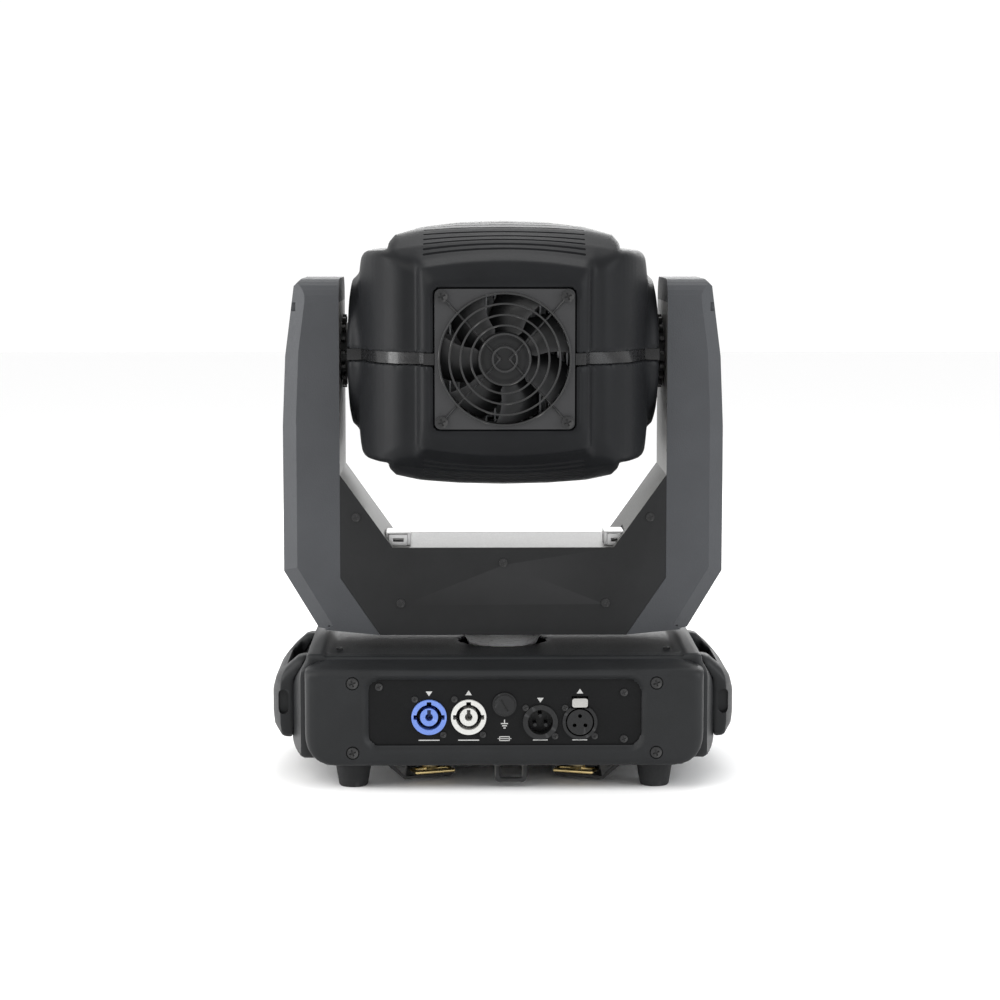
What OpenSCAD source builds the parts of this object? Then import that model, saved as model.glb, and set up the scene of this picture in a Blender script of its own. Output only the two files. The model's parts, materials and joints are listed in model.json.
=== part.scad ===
// Moving head spotlight at rest: a base, a yoke that pans on it and a head that tilts in the yoke.
// Origin: on the floor under the pan axis. +Z is up, -Y is the connector side, +Y is the lens side.

/* [Overall] */
// Height of the tilt axis above the floor
tilt_z = 290; // [289:0.5:291]
// Distance from the tilt axis to the fan guard, and to the lens bezel's rim
head_reach = 123; // [122:0.5:123.5]
// Height of the rubber feet
foot_h = 17; // [16:0.5:18]

/* [Base] */
// Half width of the base housing at its middle
base_half_w = 146; // [145:0.5:147]
// Half depth of the base, out to the face of each end bezel
base_half_d = 112; // [111:0.5:113]
// Half depth of the housing between the two end bezels
housing_half_d = 92; // [91:0.5:93]
// Height of the flat top of the base
base_top = 88.5; // [88:0.5:89]
// Height of the shallow basin under the yoke
basin_top = 86; // [85.5:0.5:86.5]
// Wall of the plastic mouldings
base_wall = 3; // [2.5:0.1:3]
// Half width of the opening in an end bezel
window_half_w = 91; // [89:0.5:92]
// Lowest edge of the opening in an end bezel
window_low = 31; // [30:0.5:32]
// Highest edge of the opening in an end bezel
window_high = 75; // [74:0.5:76]
// Depth of the recess in front of the connector panel
recess_depth = 6; // [5.5:0.5:6]
// Half distance between the big bezel screws, side to side
bezel_screw_x = 101.5; // [101:0.5:102]

/* [Connectors] */
// Height of the two power connectors
power_z = 50; // [49:0.5:51]
// Sideways place of the power inlet
inlet_x = -50.5; // [-51:0.5:-50]
// Sideways place of the power outlet
outlet_x = -24; // [-24.5:0.5:-23.5]
// Height of the fuse holder
fuse_z = 58.5; // [58:0.5:59]
// Height of the two data connectors
data_z = 46.5; // [46:0.5:47]
// Sideways place of the male data inlet
data_in_x = 24; // [23.5:0.5:24.5]
// Sideways place of the female data outlet
data_out_x = 50.5; // [50:0.5:51]
// Outside radius of a power connector's face
power_r = 11.8; // [11.5:0.1:12]
// Outside radius of a data connector's face
data_r = 10.9; // [10.7:0.1:11]

/* [Carry handles] */
// Distance from the pan axis to the outside of a handle
handle_out = 162; // [161:0.5:163]
// Half length of a handle
handle_half_l = 62; // [61:0.5:63]
// Half length of the finger gap behind a handle
finger_half_l = 42; // [41:0.5:43]

/* [Underside] */
// Distance from the middle of the base to the clamp hole of each bracket
bracket_x = 50.5; // [50:0.5:51]
// Inner and outer edge of a bracket's floor
bracket_in = 33.5; // [33:0.5:34]
bracket_out = 67.5; // [67:0.5:68]
// Half length of a bracket at the outer edge of its floor
bracket_half_l = 82; // [80:1:84]
// Distance from the middle of a bracket to its quarter-turn studs
stud_y = 78; // [77:0.5:79]
// Radius of the hole for the hanging clamp's bolt
clamp_hole_r = 6.5; // [6:0.1:6.8]
// Radius of the safety eye's wire
eye_wire_r = 1.9; // [1.8:0.1:2]

/* [Yoke] */
// Half depth of the yoke
yoke_half_d = 48; // [47.5:0.5:48.5]
// Half of the gap between the two arms
arm_gap = 112; // [111.5:0.5:112.5]
// Height of the top of each arm
arm_top = 341; // [340.5:0.5:341.5]
// Height at which the inner slope meets the arm
slope_top = 207; // [206:0.5:208]
// Top of the cross member
cross_top = 157; // [156:0.5:157.5]
// Half width of the cross member's flat top
cross_half_w = 76; // [75:0.5:77]
// Lowest edge of the centre covers
yoke_bottom = 96.4; // [96.2:0.1:96.6]
// Sheet and shell thickness of the yoke
yoke_wall = 2; // [1.8:0.1:2]

/* [Head] */
// Half height of the head
head_half_h = 91; // [90.5:0.5:91.5]
// Half width of the head over its side caps
head_half_w = 108; // [107.5:0.5:108.3]
// Half height of the dark band between the two shells
band_half_h = 4; // [3.8:0.1:4.2]
// Wall of the head shells
head_wall = 2.6; // [2.4:0.1:2.8]
// Radius of the opening for the lens bezel
lens_r = 50; // [49:0.5:51]

/* [Fan] */
// Width of the square fan frame
fan_w = 92; // [92]
// Distance between the fan's screw holes
fan_pitch = 82.5; // [82.5]
// Depth of the fan frame
fan_d = 25; // [25]
// Number of fan blades
fan_blades = 7; // [7:1:9]

/* [Drives] */
// Teeth on each driven pulley
driven_teeth = 84; // [84]
// Teeth on each motor pulley
motor_teeth = 16; // [16]
// Belt pitch
belt_pitch = 3; // [3]
// Belt thickness
belt_t = 1.4; // [1.2:0.1:1.4]
// Distance from the pan axis to its motor
pan_motor_x = 72; // [71:0.5:73]
// Height of the tilt motor's shaft
tilt_motor_z = 130; // [129:0.5:131]

/* [Hidden] */
$fn = 64;

// A little more than nothing, so that cuts run past the faces they cut
eps = 0.5;
// Gap between a belt and the pulleys that it runs on
belt_gap = 0.35;

charcoal = [0.16, 0.165, 0.17];
sheet_grey = [0.58, 0.58, 0.56];
steel = [0.62, 0.63, 0.65];
zinc_yellow = [0.72, 0.62, 0.36];

// ---- plain helpers ----

// Points on an arc about [cx, cy] from angle a0 to a1
function arc(cx, cy, r, a0, a1, n = 6) =
    [for (i = [0:n]) [cx + r * cos(a0 + (a1 - a0) * i / n), cy + r * sin(a0 + (a1 - a0) * i / n)]];
function reversed(p) = [for (i = [len(p) - 1:-1:0]) p[i]];
function flip_x(p) = [for (q = reversed(p)) [-q[0], q[1]]];
function flip_y(p) = [for (q = reversed(p)) [q[0], -q[1]]];

// Extrudes an outline drawn in X and Z along Y, from y0 to y1
module along_y(y0, y1) {
    translate([0, y1, 0])
        rotate([90, 0, 0])
            linear_extrude(y1 - y0)
                children();
}

// Extrudes an outline drawn in Y and Z along X, from x0 to x1
module along_x(x0, x1) {
    translate([x0, 0, 0])
        rotate([90, 0, 90])
            linear_extrude(x1 - x0)
                children();
}

// Turns a shape made about Z so that its axis is +Y and its base is at y0
module on_y(y0 = 0) {
    translate([0, y0, 0])
        rotate([-90, 0, 0])
            children();
}

// Turns a shape made about Z so that its axis is +X and its base is at x0
module on_x(x0 = 0) {
    translate([x0, 0, 0])
        rotate([0, 90, 0])
            children();
}

module both_x() {
    children();
    mirror([1, 0, 0])
        children();
}

module both_y() {
    children();
    mirror([0, 1, 0])
        children();
}

module rounded_rect(w, h, r) {
    square([w - 2 * r, h], center = true);
    square([w, h - 2 * r], center = true);
    for (x = [-1, 1], y = [-1, 1])
        translate([x * (w / 2 - r), y * (h / 2 - r)])
            circle(r);
}

module ring(r_out, r_in, h) {
    difference() {
        cylinder(h = h, r = r_out);
        translate([0, 0, -eps])
            cylinder(h = h + 2 * eps, r = r_in);
    }
}

// A pan-head screw with its head on +Z, its seat at z = 0, and a cross recess
module cross_screw(head_r, head_h, shank_r, shank_l) {
    slot = head_r * 0.28;
    difference() {
        union() {
            cylinder(h = head_h, r = head_r);
            translate([0, 0, -shank_l])
                cylinder(h = shank_l + 0.1, r = shank_r);
        }
        for (a = [0, 90])
            rotate([0, 0, a + 20])
                translate([-head_r * 0.62, -slot / 2, head_h * 0.45])
                    cube([head_r * 1.24, slot, head_h]);
    }
}

// ---- belts and pulleys ----

driven_r = driven_teeth * belt_pitch / (2 * PI);
motor_r = motor_teeth * belt_pitch / (2 * PI);
tooth_depth = 0.9;
pulley_face = 9;
flange_t = 1;
flange_rise = 2;

// Toothed rim outline
module toothed(r, teeth) {
    polygon([
        for (i = [0:teeth - 1], k = [0:3])
            let (a = 360 / teeth * (i + [0, 0.3, 0.5, 0.8][k]), q = r - [0, 0, tooth_depth, tooth_depth][k])
                [q * cos(a), q * sin(a)]
    ]);
}

// A pulley with two flanges, its teeth between z = 0 and pulley_face
module pulley(r, teeth, bore_r) {
    difference() {
        union() {
            linear_extrude(pulley_face)
                toothed(r, teeth);
            for (z = [-flange_t, pulley_face])
                translate([0, 0, z])
                    cylinder(h = flange_t, r = r + flange_rise);
        }
        translate([0, 0, -flange_t - eps])
            cylinder(h = pulley_face + 2 * flange_t + 2 * eps, r = bore_r);
    }
}

// Outline of a taut loop round two circles whose centres are d apart along X
module loop_outline(ra, rb, d) {
    a = acos((ra - rb) / d);
    circle(ra);
    translate([d, 0])
        circle(rb);
    polygon([
        [ra * cos(a), ra * sin(a)], [d + rb * cos(a), rb * sin(a)],
        [d + rb * cos(a), -rb * sin(a)], [ra * cos(a), -ra * sin(a)]
    ]);
}

module belt(d) {
    h = pulley_face - 2;
    difference() {
        linear_extrude(h)
            loop_outline(driven_r + belt_gap + belt_t, motor_r + belt_gap + belt_t, d);
        translate([0, 0, -eps])
            linear_extrude(h + 2 * eps)
                loop_outline(driven_r + belt_gap, motor_r + belt_gap, d);
    }
}

// A square stepper motor standing on z = 0 with its shaft up
motor_w = 42;
shaft_r = 2.5;

module stepper(body_h, shaft_top) {
    difference() {
        linear_extrude(body_h)
            rounded_rect(motor_w, motor_w, 5);
        for (z = [body_h * 0.25, body_h * 0.75])
            translate([0, 0, z])
                difference() {
                    translate([-motor_w, -motor_w, 0])
                        cube([2 * motor_w, 2 * motor_w, 0.8]);
                    translate([0, 0, -eps])
                        linear_extrude(2)
                            rounded_rect(motor_w - 1, motor_w - 1, 5);
                }
    }
    translate([0, 0, body_h])
        cylinder(h = 2, r = 11);
    translate([0, 0, body_h])
        cylinder(h = shaft_top - body_h, r = shaft_r);
}

// ---- base ----

plate_top = foot_h + 2;
chassis_half_w = 120;
chassis_half_d = 105.8;
bezel_r = 22;
bezel_half_w = 135;
facet_low = 81.5;
ridge_in = 121;
ridge_out = 133;
ridge_top = 90;
pocket_in = 124;
pocket_low = 40;
pocket_high = 83;
hub_hole_r = 31;
panel_face = -(base_half_d - recess_depth);
panel_t = 1.5;
window_z = (window_low + window_high) / 2;
window_h = window_high - window_low;
bezel_screw_z = [26.5, 73.5];

// Half of the base's outline in plan, from the rear to the front on the +X side
module base_plan(inset) {
    w = base_half_w - inset;
    half = [[137 - inset, -housing_half_d - eps], [w, -52], [w, 52], [137 - inset, housing_half_d + eps]];
    polygon(concat(half, [for (q = reversed(half)) [-q[0], q[1]]]));
}

// Outline of the base seen from behind
module base_section(inset) {
    w = base_half_w - inset;
    low = inset > 0 ? -eps : plate_top;
    half = concat(
        inset > 0 ? [[w, low]] : arc(w - 8, low + 8, 8, -90, 0),
        [[w, 64], [ridge_out - inset + 1, 84 - inset / 2]],
        inset > 0 ? [[ridge_out - inset, basin_top - inset], [0, basin_top - inset]]
            : [[ridge_out, ridge_top], [ridge_in + 1, ridge_top], [ridge_in, base_top], [0, base_top]]
    );
    polygon(concat(half, flip_x(half)));
}

module finger_pocket(grow) {
    both_x()
        translate([pocket_in - grow, -finger_half_l - grow, pocket_low - grow])
            cube([60, 2 * (finger_half_l + grow), pocket_high - pocket_low + 2 * grow]);
}

lip_in = 116;
basin_half_w = 119;
basin_half_d = 75;
basin_screws = [[113, 45], [-113, 45]];
basin_screw_r = 1.2;

module base_housing() {
    color(charcoal)
        difference() {
            intersection() {
                linear_extrude(200)
                    base_plan(0);
                along_y(-housing_half_d, housing_half_d)
                    base_section(0);
            }
            difference() {
                intersection() {
                    translate([0, 0, -1])
                        linear_extrude(200)
                            base_plan(base_wall);
                    along_y(-housing_half_d - 1, housing_half_d + 1)
                        base_section(base_wall);
                }
                finger_pocket(base_wall);
                both_x()
                    translate([lip_in, -100, 0])
                        cube([40, 200, plate_top + base_wall]);
            }
            finger_pocket(0);
            translate([0, 0, basin_top])
                linear_extrude(20)
                    rounded_rect(2 * basin_half_w, 2 * basin_half_d, 8);
            cylinder(h = 200, r = hub_hole_r);
            both_y()
                for (p = basin_screws)
                    translate([p[0], p[1], 0])
                        cylinder(h = 200, r = basin_screw_r);
        }
}

// Outline of an end bezel seen from behind
module bezel_section(inset) {
    w = bezel_half_w - inset;
    low = inset > 0 ? plate_top + inset : foot_h;
    r = bezel_r - inset;
    half = concat(
        arc(w - r, low + r, r, -90, 0),
        [[w, facet_low - inset], [119, base_top - inset]]
    );
    polygon(concat(half, flip_x(half)));
}

// Outline of the rear bezel in plan: its upright corners are rounded
module bezel_plan(inset) {
    r = 12 - inset;
    w = bezel_half_w + 1 - inset;
    y = base_half_d - inset;
    half = concat([[0, -y]], arc(w - r, r - y, r, -90, -20), [[w + 1, -housing_half_d + eps], [0, -housing_half_d + eps]]);
    polygon(concat(half, flip_x(half)));
}

// Outline of the rear bezel from the side, with its sloping top
module bezel_side(inset) {
    polygon([
        [-base_half_d + inset, -eps], [-housing_half_d, -eps], [-housing_half_d, base_top - inset],
        [-base_half_d + inset + 3, facet_low - inset + 0.6], [-base_half_d + inset, facet_low - 3 - inset]
    ]);
}

module bezel_block(inset) {
    intersection() {
        along_y(-base_half_d, -housing_half_d)
            bezel_section(inset);
        linear_extrude(200)
            bezel_plan(inset);
        along_x(-200, 200)
            bezel_side(inset);
    }
}

boss_r = 4.6;
bezel_shank_r = 2;
bezel_head_r = 3.7;
bezel_head_h = 2.2;
counterbore_r = 4.5;
counterbore_d = 3;

module at_bezel_screws() {
    for (x = [-1, 1], z = bezel_screw_z)
        translate([x * bezel_screw_x, -base_half_d, z])
            children();
}

module rear_bezel_shape(window) {
    difference() {
        union() {
            difference() {
                bezel_block(0);
                difference() {
                    bezel_block(base_wall);
                    translate([-200, -base_half_d - 1, 0])
                        cube([400, recess_depth + 1, 200]);
                }
                along_y(-base_half_d - 1, panel_face)
                    translate([0, window_z])
                        rounded_rect(2 * window_half_w, window_h, 8);
            }
            intersection() {
                at_bezel_screws()
                    on_y(recess_depth - 1)
                        cylinder(h = 12, r = boss_r);
                bezel_block(0);
            }
            children();
        }
        translate([-chassis_half_w - 0.2, -chassis_half_d - 0.2, 0])
            cube([2 * chassis_half_w + 0.4, 2 * chassis_half_d, plate_top]);
        at_bezel_screws() {
            on_y(-1)
                cylinder(h = counterbore_d + 1, r = counterbore_r);
            on_y(0)
                cylinder(h = 30, r = bezel_shank_r + 0.1);
        }
        if (window)
            along_y(-base_half_d - 1, -housing_half_d + 1)
                translate([0, window_z])
                    rounded_rect(2 * window_half_w, window_h, 8);
    }
}

module rear_bezel() {
    color(charcoal)
        rear_bezel_shape(true);
}

display_half_w = 42;
display_low = 37;
display_high = 69;
display_x = -28;
button_r = 4.5;
button_xs = [34, 50, 66, 82];
button_z = 53;
button_gap = 0.35;

module front_bezel() {
    color(charcoal)
        mirror([0, 1, 0])
            difference() {
                rear_bezel_shape(false)
                    along_y(panel_face, panel_face + 2)
                        translate([0, window_z])
                            rounded_rect(2 * window_half_w + 4, window_h + 3, 8);
                along_y(-base_half_d - 1, panel_face + 5)
                    translate([display_x, (display_low + display_high) / 2])
                        rounded_rect(2 * display_half_w, display_high - display_low, 3);
                for (x = button_xs)
                    translate([x, 0, button_z])
                        on_y(-base_half_d - 1)
                            cylinder(h = 12, r = button_r + button_gap);
            }
}

module display_window() {
    color([0.03, 0.05, 0.08])
        along_y(-panel_face - 2, -panel_face - 0.2)
            translate([display_x, (display_low + display_high) / 2])
                rounded_rect(2 * display_half_w - 0.2, display_high - display_low - 0.2, 2.9);
}

// A round push button with a wider back that stops it falling out
module menu_button(x) {
    color([0.3, 0.31, 0.33])
        translate([x, 0, button_z])
            on_y(-panel_face - 2) {
                translate([0, 0, -1.3])
                    cylinder(h = 1.2, r = button_r + 1.4);
                translate([0, 0, -0.2])
                    cylinder(h = 4.4, r = button_r);
            }
}

module menu_button_1() {
    menu_button(button_xs[0]);
}
module menu_button_2() {
    menu_button(button_xs[1]);
}
module menu_button_3() {
    menu_button(button_xs[2]);
}
module menu_button_4() {
    menu_button(button_xs[3]);
}

// ---- connector panel and what is on it ----

power_screw = [9.5, 12];
data_screw = [9.9, 9.6];
small_screw_r = 1.1;
small_head_r = 2.1;
small_head_h = 1.3;
panel_screws = [[-84, 70.5], [80, 66.5], [80, 35]];
panel_half_w = 94;
fuse_r = 8;

function connector_screws() = concat(
    [for (x = [inlet_x, outlet_x], s = [-1, 1]) [x + s * power_screw[0], power_z - s * power_screw[1]]],
    [for (x = [data_in_x, data_out_x], s = [-1, 1]) [x + s * data_screw[0], data_z - s * data_screw[1]]]
);

module connector_panel() {
    color([0.13, 0.135, 0.14])
        along_y(panel_face, panel_face + panel_t)
            difference() {
                translate([0, window_z])
                    rounded_rect(2 * panel_half_w, window_h + 6, 4);
                for (x = [inlet_x, outlet_x])
                    translate([x, power_z])
                        circle(power_r - 0.4);
                for (x = [data_in_x, data_out_x])
                    translate([x, data_z])
                        circle(data_r);
                translate([data_out_x, data_z + data_r + 1.4])
                    square([11, 10], center = true);
                translate([0, fuse_z])
                    circle(6.5);
                for (p = concat(connector_screws(), panel_screws))
                    translate(p)
                        circle(small_screw_r);
            }
}

// A twist-lock power socket: a keyed round well with a core, its flange on the panel
module power_socket(x) {
    well_r = 8.6;
    core_r = 6;
    translate([x, 0, power_z])
        on_y(panel_face)
            difference() {
                union() {
                    translate([0, 0, -2.4])
                        cylinder(h = 2.4, r = power_r);
                    cylinder(h = 24, r = power_r - 0.5);
                }
                translate([0, 0, -3])
                    difference() {
                        union() {
                            cylinder(h = 19, r = well_r);
                            for (a = [90, 0, 180])
                                rotate([0, 0, -a])
                                    translate([0, -1.6, 0])
                                        cube([well_r + 1.8, 3.2, 19]);
                        }
                        translate([0, 0, 1.4])
                            cylinder(h = 20, r = core_r);
                    }
                translate([0, 0, -3])
                    cylinder(h = 15, r = 2.6);
                translate([-1.2, -5, -3])
                    cube([2.4, 5, 12]);
            }
}

module power_inlet() {
    color([0.36, 0.48, 0.82])
        power_socket(inlet_x);
}

module power_outlet() {
    color([0.88, 0.88, 0.85])
        power_socket(outlet_x);
}

module fuse_holder() {
    color([0.08, 0.08, 0.085])
        translate([0, 0, fuse_z])
            on_y(panel_face)
                difference() {
                    union() {
                        translate([0, 0, -2])
                            cylinder(h = 2, r = fuse_r);
                        cylinder(h = 26, r = 6.4);
                    }
                    translate([0, 0, -3])
                        cylinder(h = 20, r = 5.4);
                }
}

module fuse_cap() {
    color([0.1, 0.1, 0.105])
        translate([0, 0, fuse_z])
            on_y(panel_face)
                difference() {
                    union() {
                        translate([0, 0, -3.4])
                            cylinder(h = 1, r = 6.6);
                        translate([0, 0, -2.5])
                            cylinder(h = 17, r = 5);
                    }
                    rotate([0, 0, 60])
                        translate([-4.5, -0.6, -4])
                            cube([9, 1.2, 1.4]);
                }
}

module data_inlet() {
    color([0.2, 0.2, 0.21])
        translate([data_in_x, 0, data_z])
            on_y(panel_face) {
                difference() {
                    union() {
                        translate([0, 0, -2])
                            cylinder(h = 2, r = data_r + 0.8);
                        cylinder(h = 22, r = data_r - 0.3);
                    }
                    translate([0, 0, -3])
                        cylinder(h = 16, r = 8.4);
                }
                for (a = [30, 150, 270])
                    rotate([0, 0, a])
                        translate([4.2, 0, 0])
                            cylinder(h = 14, r = 1.2);
            }
}

module data_outlet() {
    color([0.17, 0.17, 0.18])
        translate([data_out_x, 0, data_z])
            on_y(panel_face)
                difference() {
                    union() {
                        translate([0, 0, -2])
                            cylinder(h = 2, r = data_r + 0.8);
                        cylinder(h = 22, r = data_r - 0.3);
                    }
                    translate([0, 0, -3])
                        ring(9.6, 8.6, 12);
                    for (a = [30, 150, 270])
                        rotate([0, 0, a])
                            translate([4.2, 0, -3])
                                cylinder(h = 12, r = 1.3);
                    translate([-6, -data_r - 6, -3])
                        cube([12, 7.6, 30]);
                }
}

latch_w = 10.4;
latch_h = 6;

module data_latch() {
    color([0.75, 0.75, 0.73])
        translate([data_out_x, panel_face - 2.2, data_z + data_r + 2.2])
            along_y(0, 8)
                rounded_rect(latch_w, latch_h, 1.5);
}

// ---- handles, feet and underside ----

handle_low = 27;
handle_top = 84;
handle_in = 137;
grip_in = 149.5;

module handle_plan() {
    half = [
        [handle_in, -handle_half_l], [153, -handle_half_l], [handle_out - 2, -46],
        [handle_out, -34], [handle_out, 0]
    ];
    difference() {
        polygon(concat(half, reversed([for (q = half) [q[0], -q[1]]])));
        polygon([
            [100, -finger_half_l], [grip_in - 6, -finger_half_l], [grip_in, -finger_half_l + 8],
            [grip_in, finger_half_l - 8], [grip_in - 6, finger_half_l], [100, finger_half_l]
        ]);
    }
}

module handle_section() {
    polygon([
        [handle_in, 34], [base_half_w, handle_low + 3], [153, handle_low], [handle_out - 2, 34],
        [handle_out, 42], [handle_out, 58], [158, 67], [150, 75], [141, handle_top - 1], [handle_in, handle_top]
    ]);
}

// Right handle. Its ends follow the housing's side, which they are screwed to
module handle() {
    difference() {
        intersection() {
            linear_extrude(200)
                handle_plan();
            along_y(-100, 100)
                handle_section();
        }
        intersection() {
            linear_extrude(200)
                base_plan(0);
            along_y(-housing_half_d, housing_half_d)
                base_section(0);
        }
        both_y()
            translate([151, -handle_half_l - 1, 52.5])
                on_y(0)
                    linear_extrude(7)
                        rounded_rect(7, 17, 3.4);
    }
}

module carry_handle_right() {
    color(charcoal)
        handle();
}

module carry_handle_left() {
    color(charcoal)
        mirror([1, 0, 0])
            handle();
}

foot_x = 102;
foot_y = 86;

module rubber_feet() {
    color([0.1, 0.1, 0.1])
        for (x = [-foot_x, foot_x], y = [-foot_y, foot_y])
            translate([x, y, 0])
                rotate_extrude()
                    polygon([[3.5, 0], [9, 0], [9.8, 1], [12.2, foot_h - 2], [12.2, foot_h], [0, foot_h], [0, 4], [3.5, 4]]);
}

eye_x = 4.4;
eye_y = -97;
eye_half_w = 9.2;
eye_low = 5.2;

module safety_eye() {
    color([0.12, 0.12, 0.12])
        translate([eye_x, eye_y, 0]) {
            bend_r = 3;
            for (s = [-1, 1]) {
                translate([s * eye_half_w, 0, eye_low + bend_r])
                    cylinder(h = foot_h - eye_low - bend_r, r = eye_wire_r);
                translate([s * (eye_half_w - bend_r), 0, eye_low + bend_r])
                    rotate([90, 0, 0])
                        rotate([0, 0, s > 0 ? -90 : 180])
                            rotate_extrude(angle = 90)
                                translate([bend_r, 0])
                                    circle(eye_wire_r);
                translate([s * eye_half_w, 0, foot_h - 1.5])
                    cylinder(h = 1.5, r = 3.4);
            }
            translate([-eye_half_w + bend_r, 0, eye_low])
                on_x(0)
                    cylinder(h = 2 * (eye_half_w - bend_r), r = eye_wire_r);
        }
}

strip_t = 2;
strip_low = 2.4;
bracket_rise = foot_h - strip_low;
end_slant = 0.45;
tab_half_l = 10;
stud_r = 3;
stud_hole_r = 3.4;
lug_r = 6;
bail_half_w = 13;
bail_reach = 12;
bail_wire_r = 1.2;
bail_z = 9.5;
bail_turn = 19;

// Section of a bracket seen along Y: inner lip, floor and slanted side
module bracket_section() {
    polygon([
        [bracket_in, 11], [bracket_in, strip_low + 2.5], [bracket_in + 2.5, strip_low], [bracket_out, strip_low],
        [bracket_out + bracket_rise, foot_h], [bracket_out + bracket_rise - 3, foot_h],
        [bracket_out - 0.8, strip_low + strip_t], [bracket_in + 3.5, strip_low + strip_t],
        [bracket_in + strip_t, strip_low + 3.5], [bracket_in + strip_t, 11]
    ]);
}

// Plan of a bracket, whose ends run aslant so that the outer side is the longer one
module bracket_plan() {
    far = bracket_out + 20;
    long = bracket_half_l + 20 * end_slant;
    short = bracket_half_l - bracket_out * end_slant;
    polygon([[0, -short], [far, -long], [far, long], [0, short]]);
}

module omega_brackets() {
    color([0.08, 0.08, 0.085])
        both_x()
            difference() {
                union() {
                    intersection() {
                        along_y(-100, 100)
                            bracket_section();
                        linear_extrude(foot_h)
                            bracket_plan();
                    }
                    for (y = [-stud_y, stud_y])
                        translate([bracket_x - tab_half_l, y - tab_half_l, foot_h - strip_t])
                            cube([bracket_out + bracket_rise - 2.5 - bracket_x + tab_half_l, 2 * tab_half_l, strip_t]);
                }
                translate([bracket_x, 0, -1])
                    cylinder(h = 10, r = clamp_hole_r);
                for (y = [-stud_y, stud_y])
                    translate([bracket_x, y, 10])
                        cylinder(h = 10, r = stud_hole_r);
            }
}

// A quarter-turn stud with its head under the bracket's tab and a flat wire bail around it
module quarter_turn(side, end) {
    color(zinc_yellow)
        translate([side * bracket_x, end * stud_y, 0])
            rotate([0, 0, (end > 0 ? 180 : 0) - side * bail_turn]) {
                translate([0, 0, bail_z - bail_wire_r])
                    cylinder(h = foot_h + 1.8 - bail_z + bail_wire_r, r = stud_r);
                translate([0, 0, 11.5])
                    cylinder(h = foot_h - strip_t - 0.3 - 11.5, r = lug_r);
                for (y = [0, -bail_reach])
                    translate([0, y, bail_z])
                        on_x(-bail_half_w)
                            cylinder(h = 2 * bail_half_w, r = bail_wire_r);
                for (x = [-bail_half_w, bail_half_w]) {
                    translate([x, 0, bail_z])
                        on_y(-bail_reach)
                            cylinder(h = bail_reach, r = bail_wire_r);
                    for (y = [0, -bail_reach])
                        translate([x, y, bail_z])
                            sphere(bail_wire_r);
                }
            }
}

module quarter_turn_left_rear() {
    quarter_turn(-1, -1);
}
module quarter_turn_left_front() {
    quarter_turn(-1, 1);
}
module quarter_turn_right_rear() {
    quarter_turn(1, -1);
}
module quarter_turn_right_front() {
    quarter_turn(1, 1);
}

// ---- inside the base ----

post_x = 62;
post_y = 42;
post_r = 5;
bridge_low = 74;
bridge_top = 78;
bearing_low = 71;
pan_shaft_r = 20;
pan_race_r = 26;
pulley_low = 58;
bridge_ring_low = 70.5;

module base_chassis() {
    color([0.24, 0.25, 0.26])
        difference() {
            union() {
                translate([0, 0, foot_h])
                    linear_extrude(plate_top - foot_h)
                        rounded_rect(2 * chassis_half_w, 2 * chassis_half_d, 12);
                for (x = [-post_x, post_x], y = [-post_y, post_y])
                    translate([x, y, plate_top - 0.5])
                        cylinder(h = bridge_low - plate_top + 1, r = post_r);
                translate([0, 0, bridge_low])
                    linear_extrude(bridge_top - bridge_low)
                        rounded_rect(2 * post_x + 16, 2 * post_y + 16, 8);
                translate([0, 0, bridge_ring_low])
                    cylinder(h = bridge_top - bridge_ring_low, r = pan_race_r + 5);
            }
            translate([0, 0, bridge_ring_low - 1])
                cylinder(h = 20, r = pan_race_r);
            for (x = [-bracket_x, bracket_x], y = [-stud_y, stud_y])
                translate([x, y, foot_h - 1])
                    cylinder(h = 8, r = stud_hole_r);
        }
}

// A ball bearing between z = 0 and h
module ball_bearing(r_in, r_out, h, balls) {
    mid = (r_in + r_out) / 2;
    race = (r_out - r_in) * 0.36;
    ring(r_in + race, r_in, h);
    ring(r_out, r_out - race, h);
    for (i = [0:balls - 1])
        rotate([0, 0, 360 * i / balls])
            translate([mid, 0, h / 2])
                sphere((r_out - r_in) / 2 - race - 0.02);
}

module pan_bearing() {
    color(steel)
        translate([0, 0, bearing_low])
            ball_bearing(pan_shaft_r + 0.05, pan_race_r - 0.02, 7, 18);
}

module pan_motor() {
    color([0.1, 0.1, 0.11])
        translate([pan_motor_x, 0, plate_top])
            stepper(34, pulley_low + pulley_face + 1 - plate_top);
}

module pan_motor_pulley() {
    color([0.7, 0.7, 0.72])
        translate([pan_motor_x, 0, pulley_low])
            pulley(motor_r, motor_teeth, shaft_r + 0.05);
}

module pan_belt() {
    color([0.05, 0.05, 0.05])
        translate([0, 0, pulley_low + 1])
            belt(pan_motor_x);
}

// The polished flared hub, its hollow shaft and the toothed rim that the pan belt drives
module pan_hub() {
    color([0.82, 0.82, 0.84]) {
        rotate_extrude()
            polygon([
                [15, 55], [pan_shaft_r, 55], [pan_shaft_r, bridge_top + 0.3], [22, bridge_top + 0.3],
                [22, 81], [24, 83], [25.5, 87], [28.5, 91], [33.5, 94.4], [37.5, 95.8], [37.5, 97], [15, 97]
            ]);
        translate([0, 0, pulley_low])
            pulley(driven_r, driven_teeth, pan_shaft_r - 0.5);
    }
}

module power_supply() {
    color([0.6, 0.61, 0.62]) {
        difference() {
            translate([-96, 53, plate_top + 4])
                cube([150, 34, 42]);
            for (i = [0:11])
                translate([-88 + 12 * i, 50, plate_top + 44])
                    cube([5, 40, 4]);
        }
        for (x = [-88, 44], y = [60, 80])
            translate([x, y, plate_top])
                cylinder(h = 4.5, r = 3);
    }
}

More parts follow.
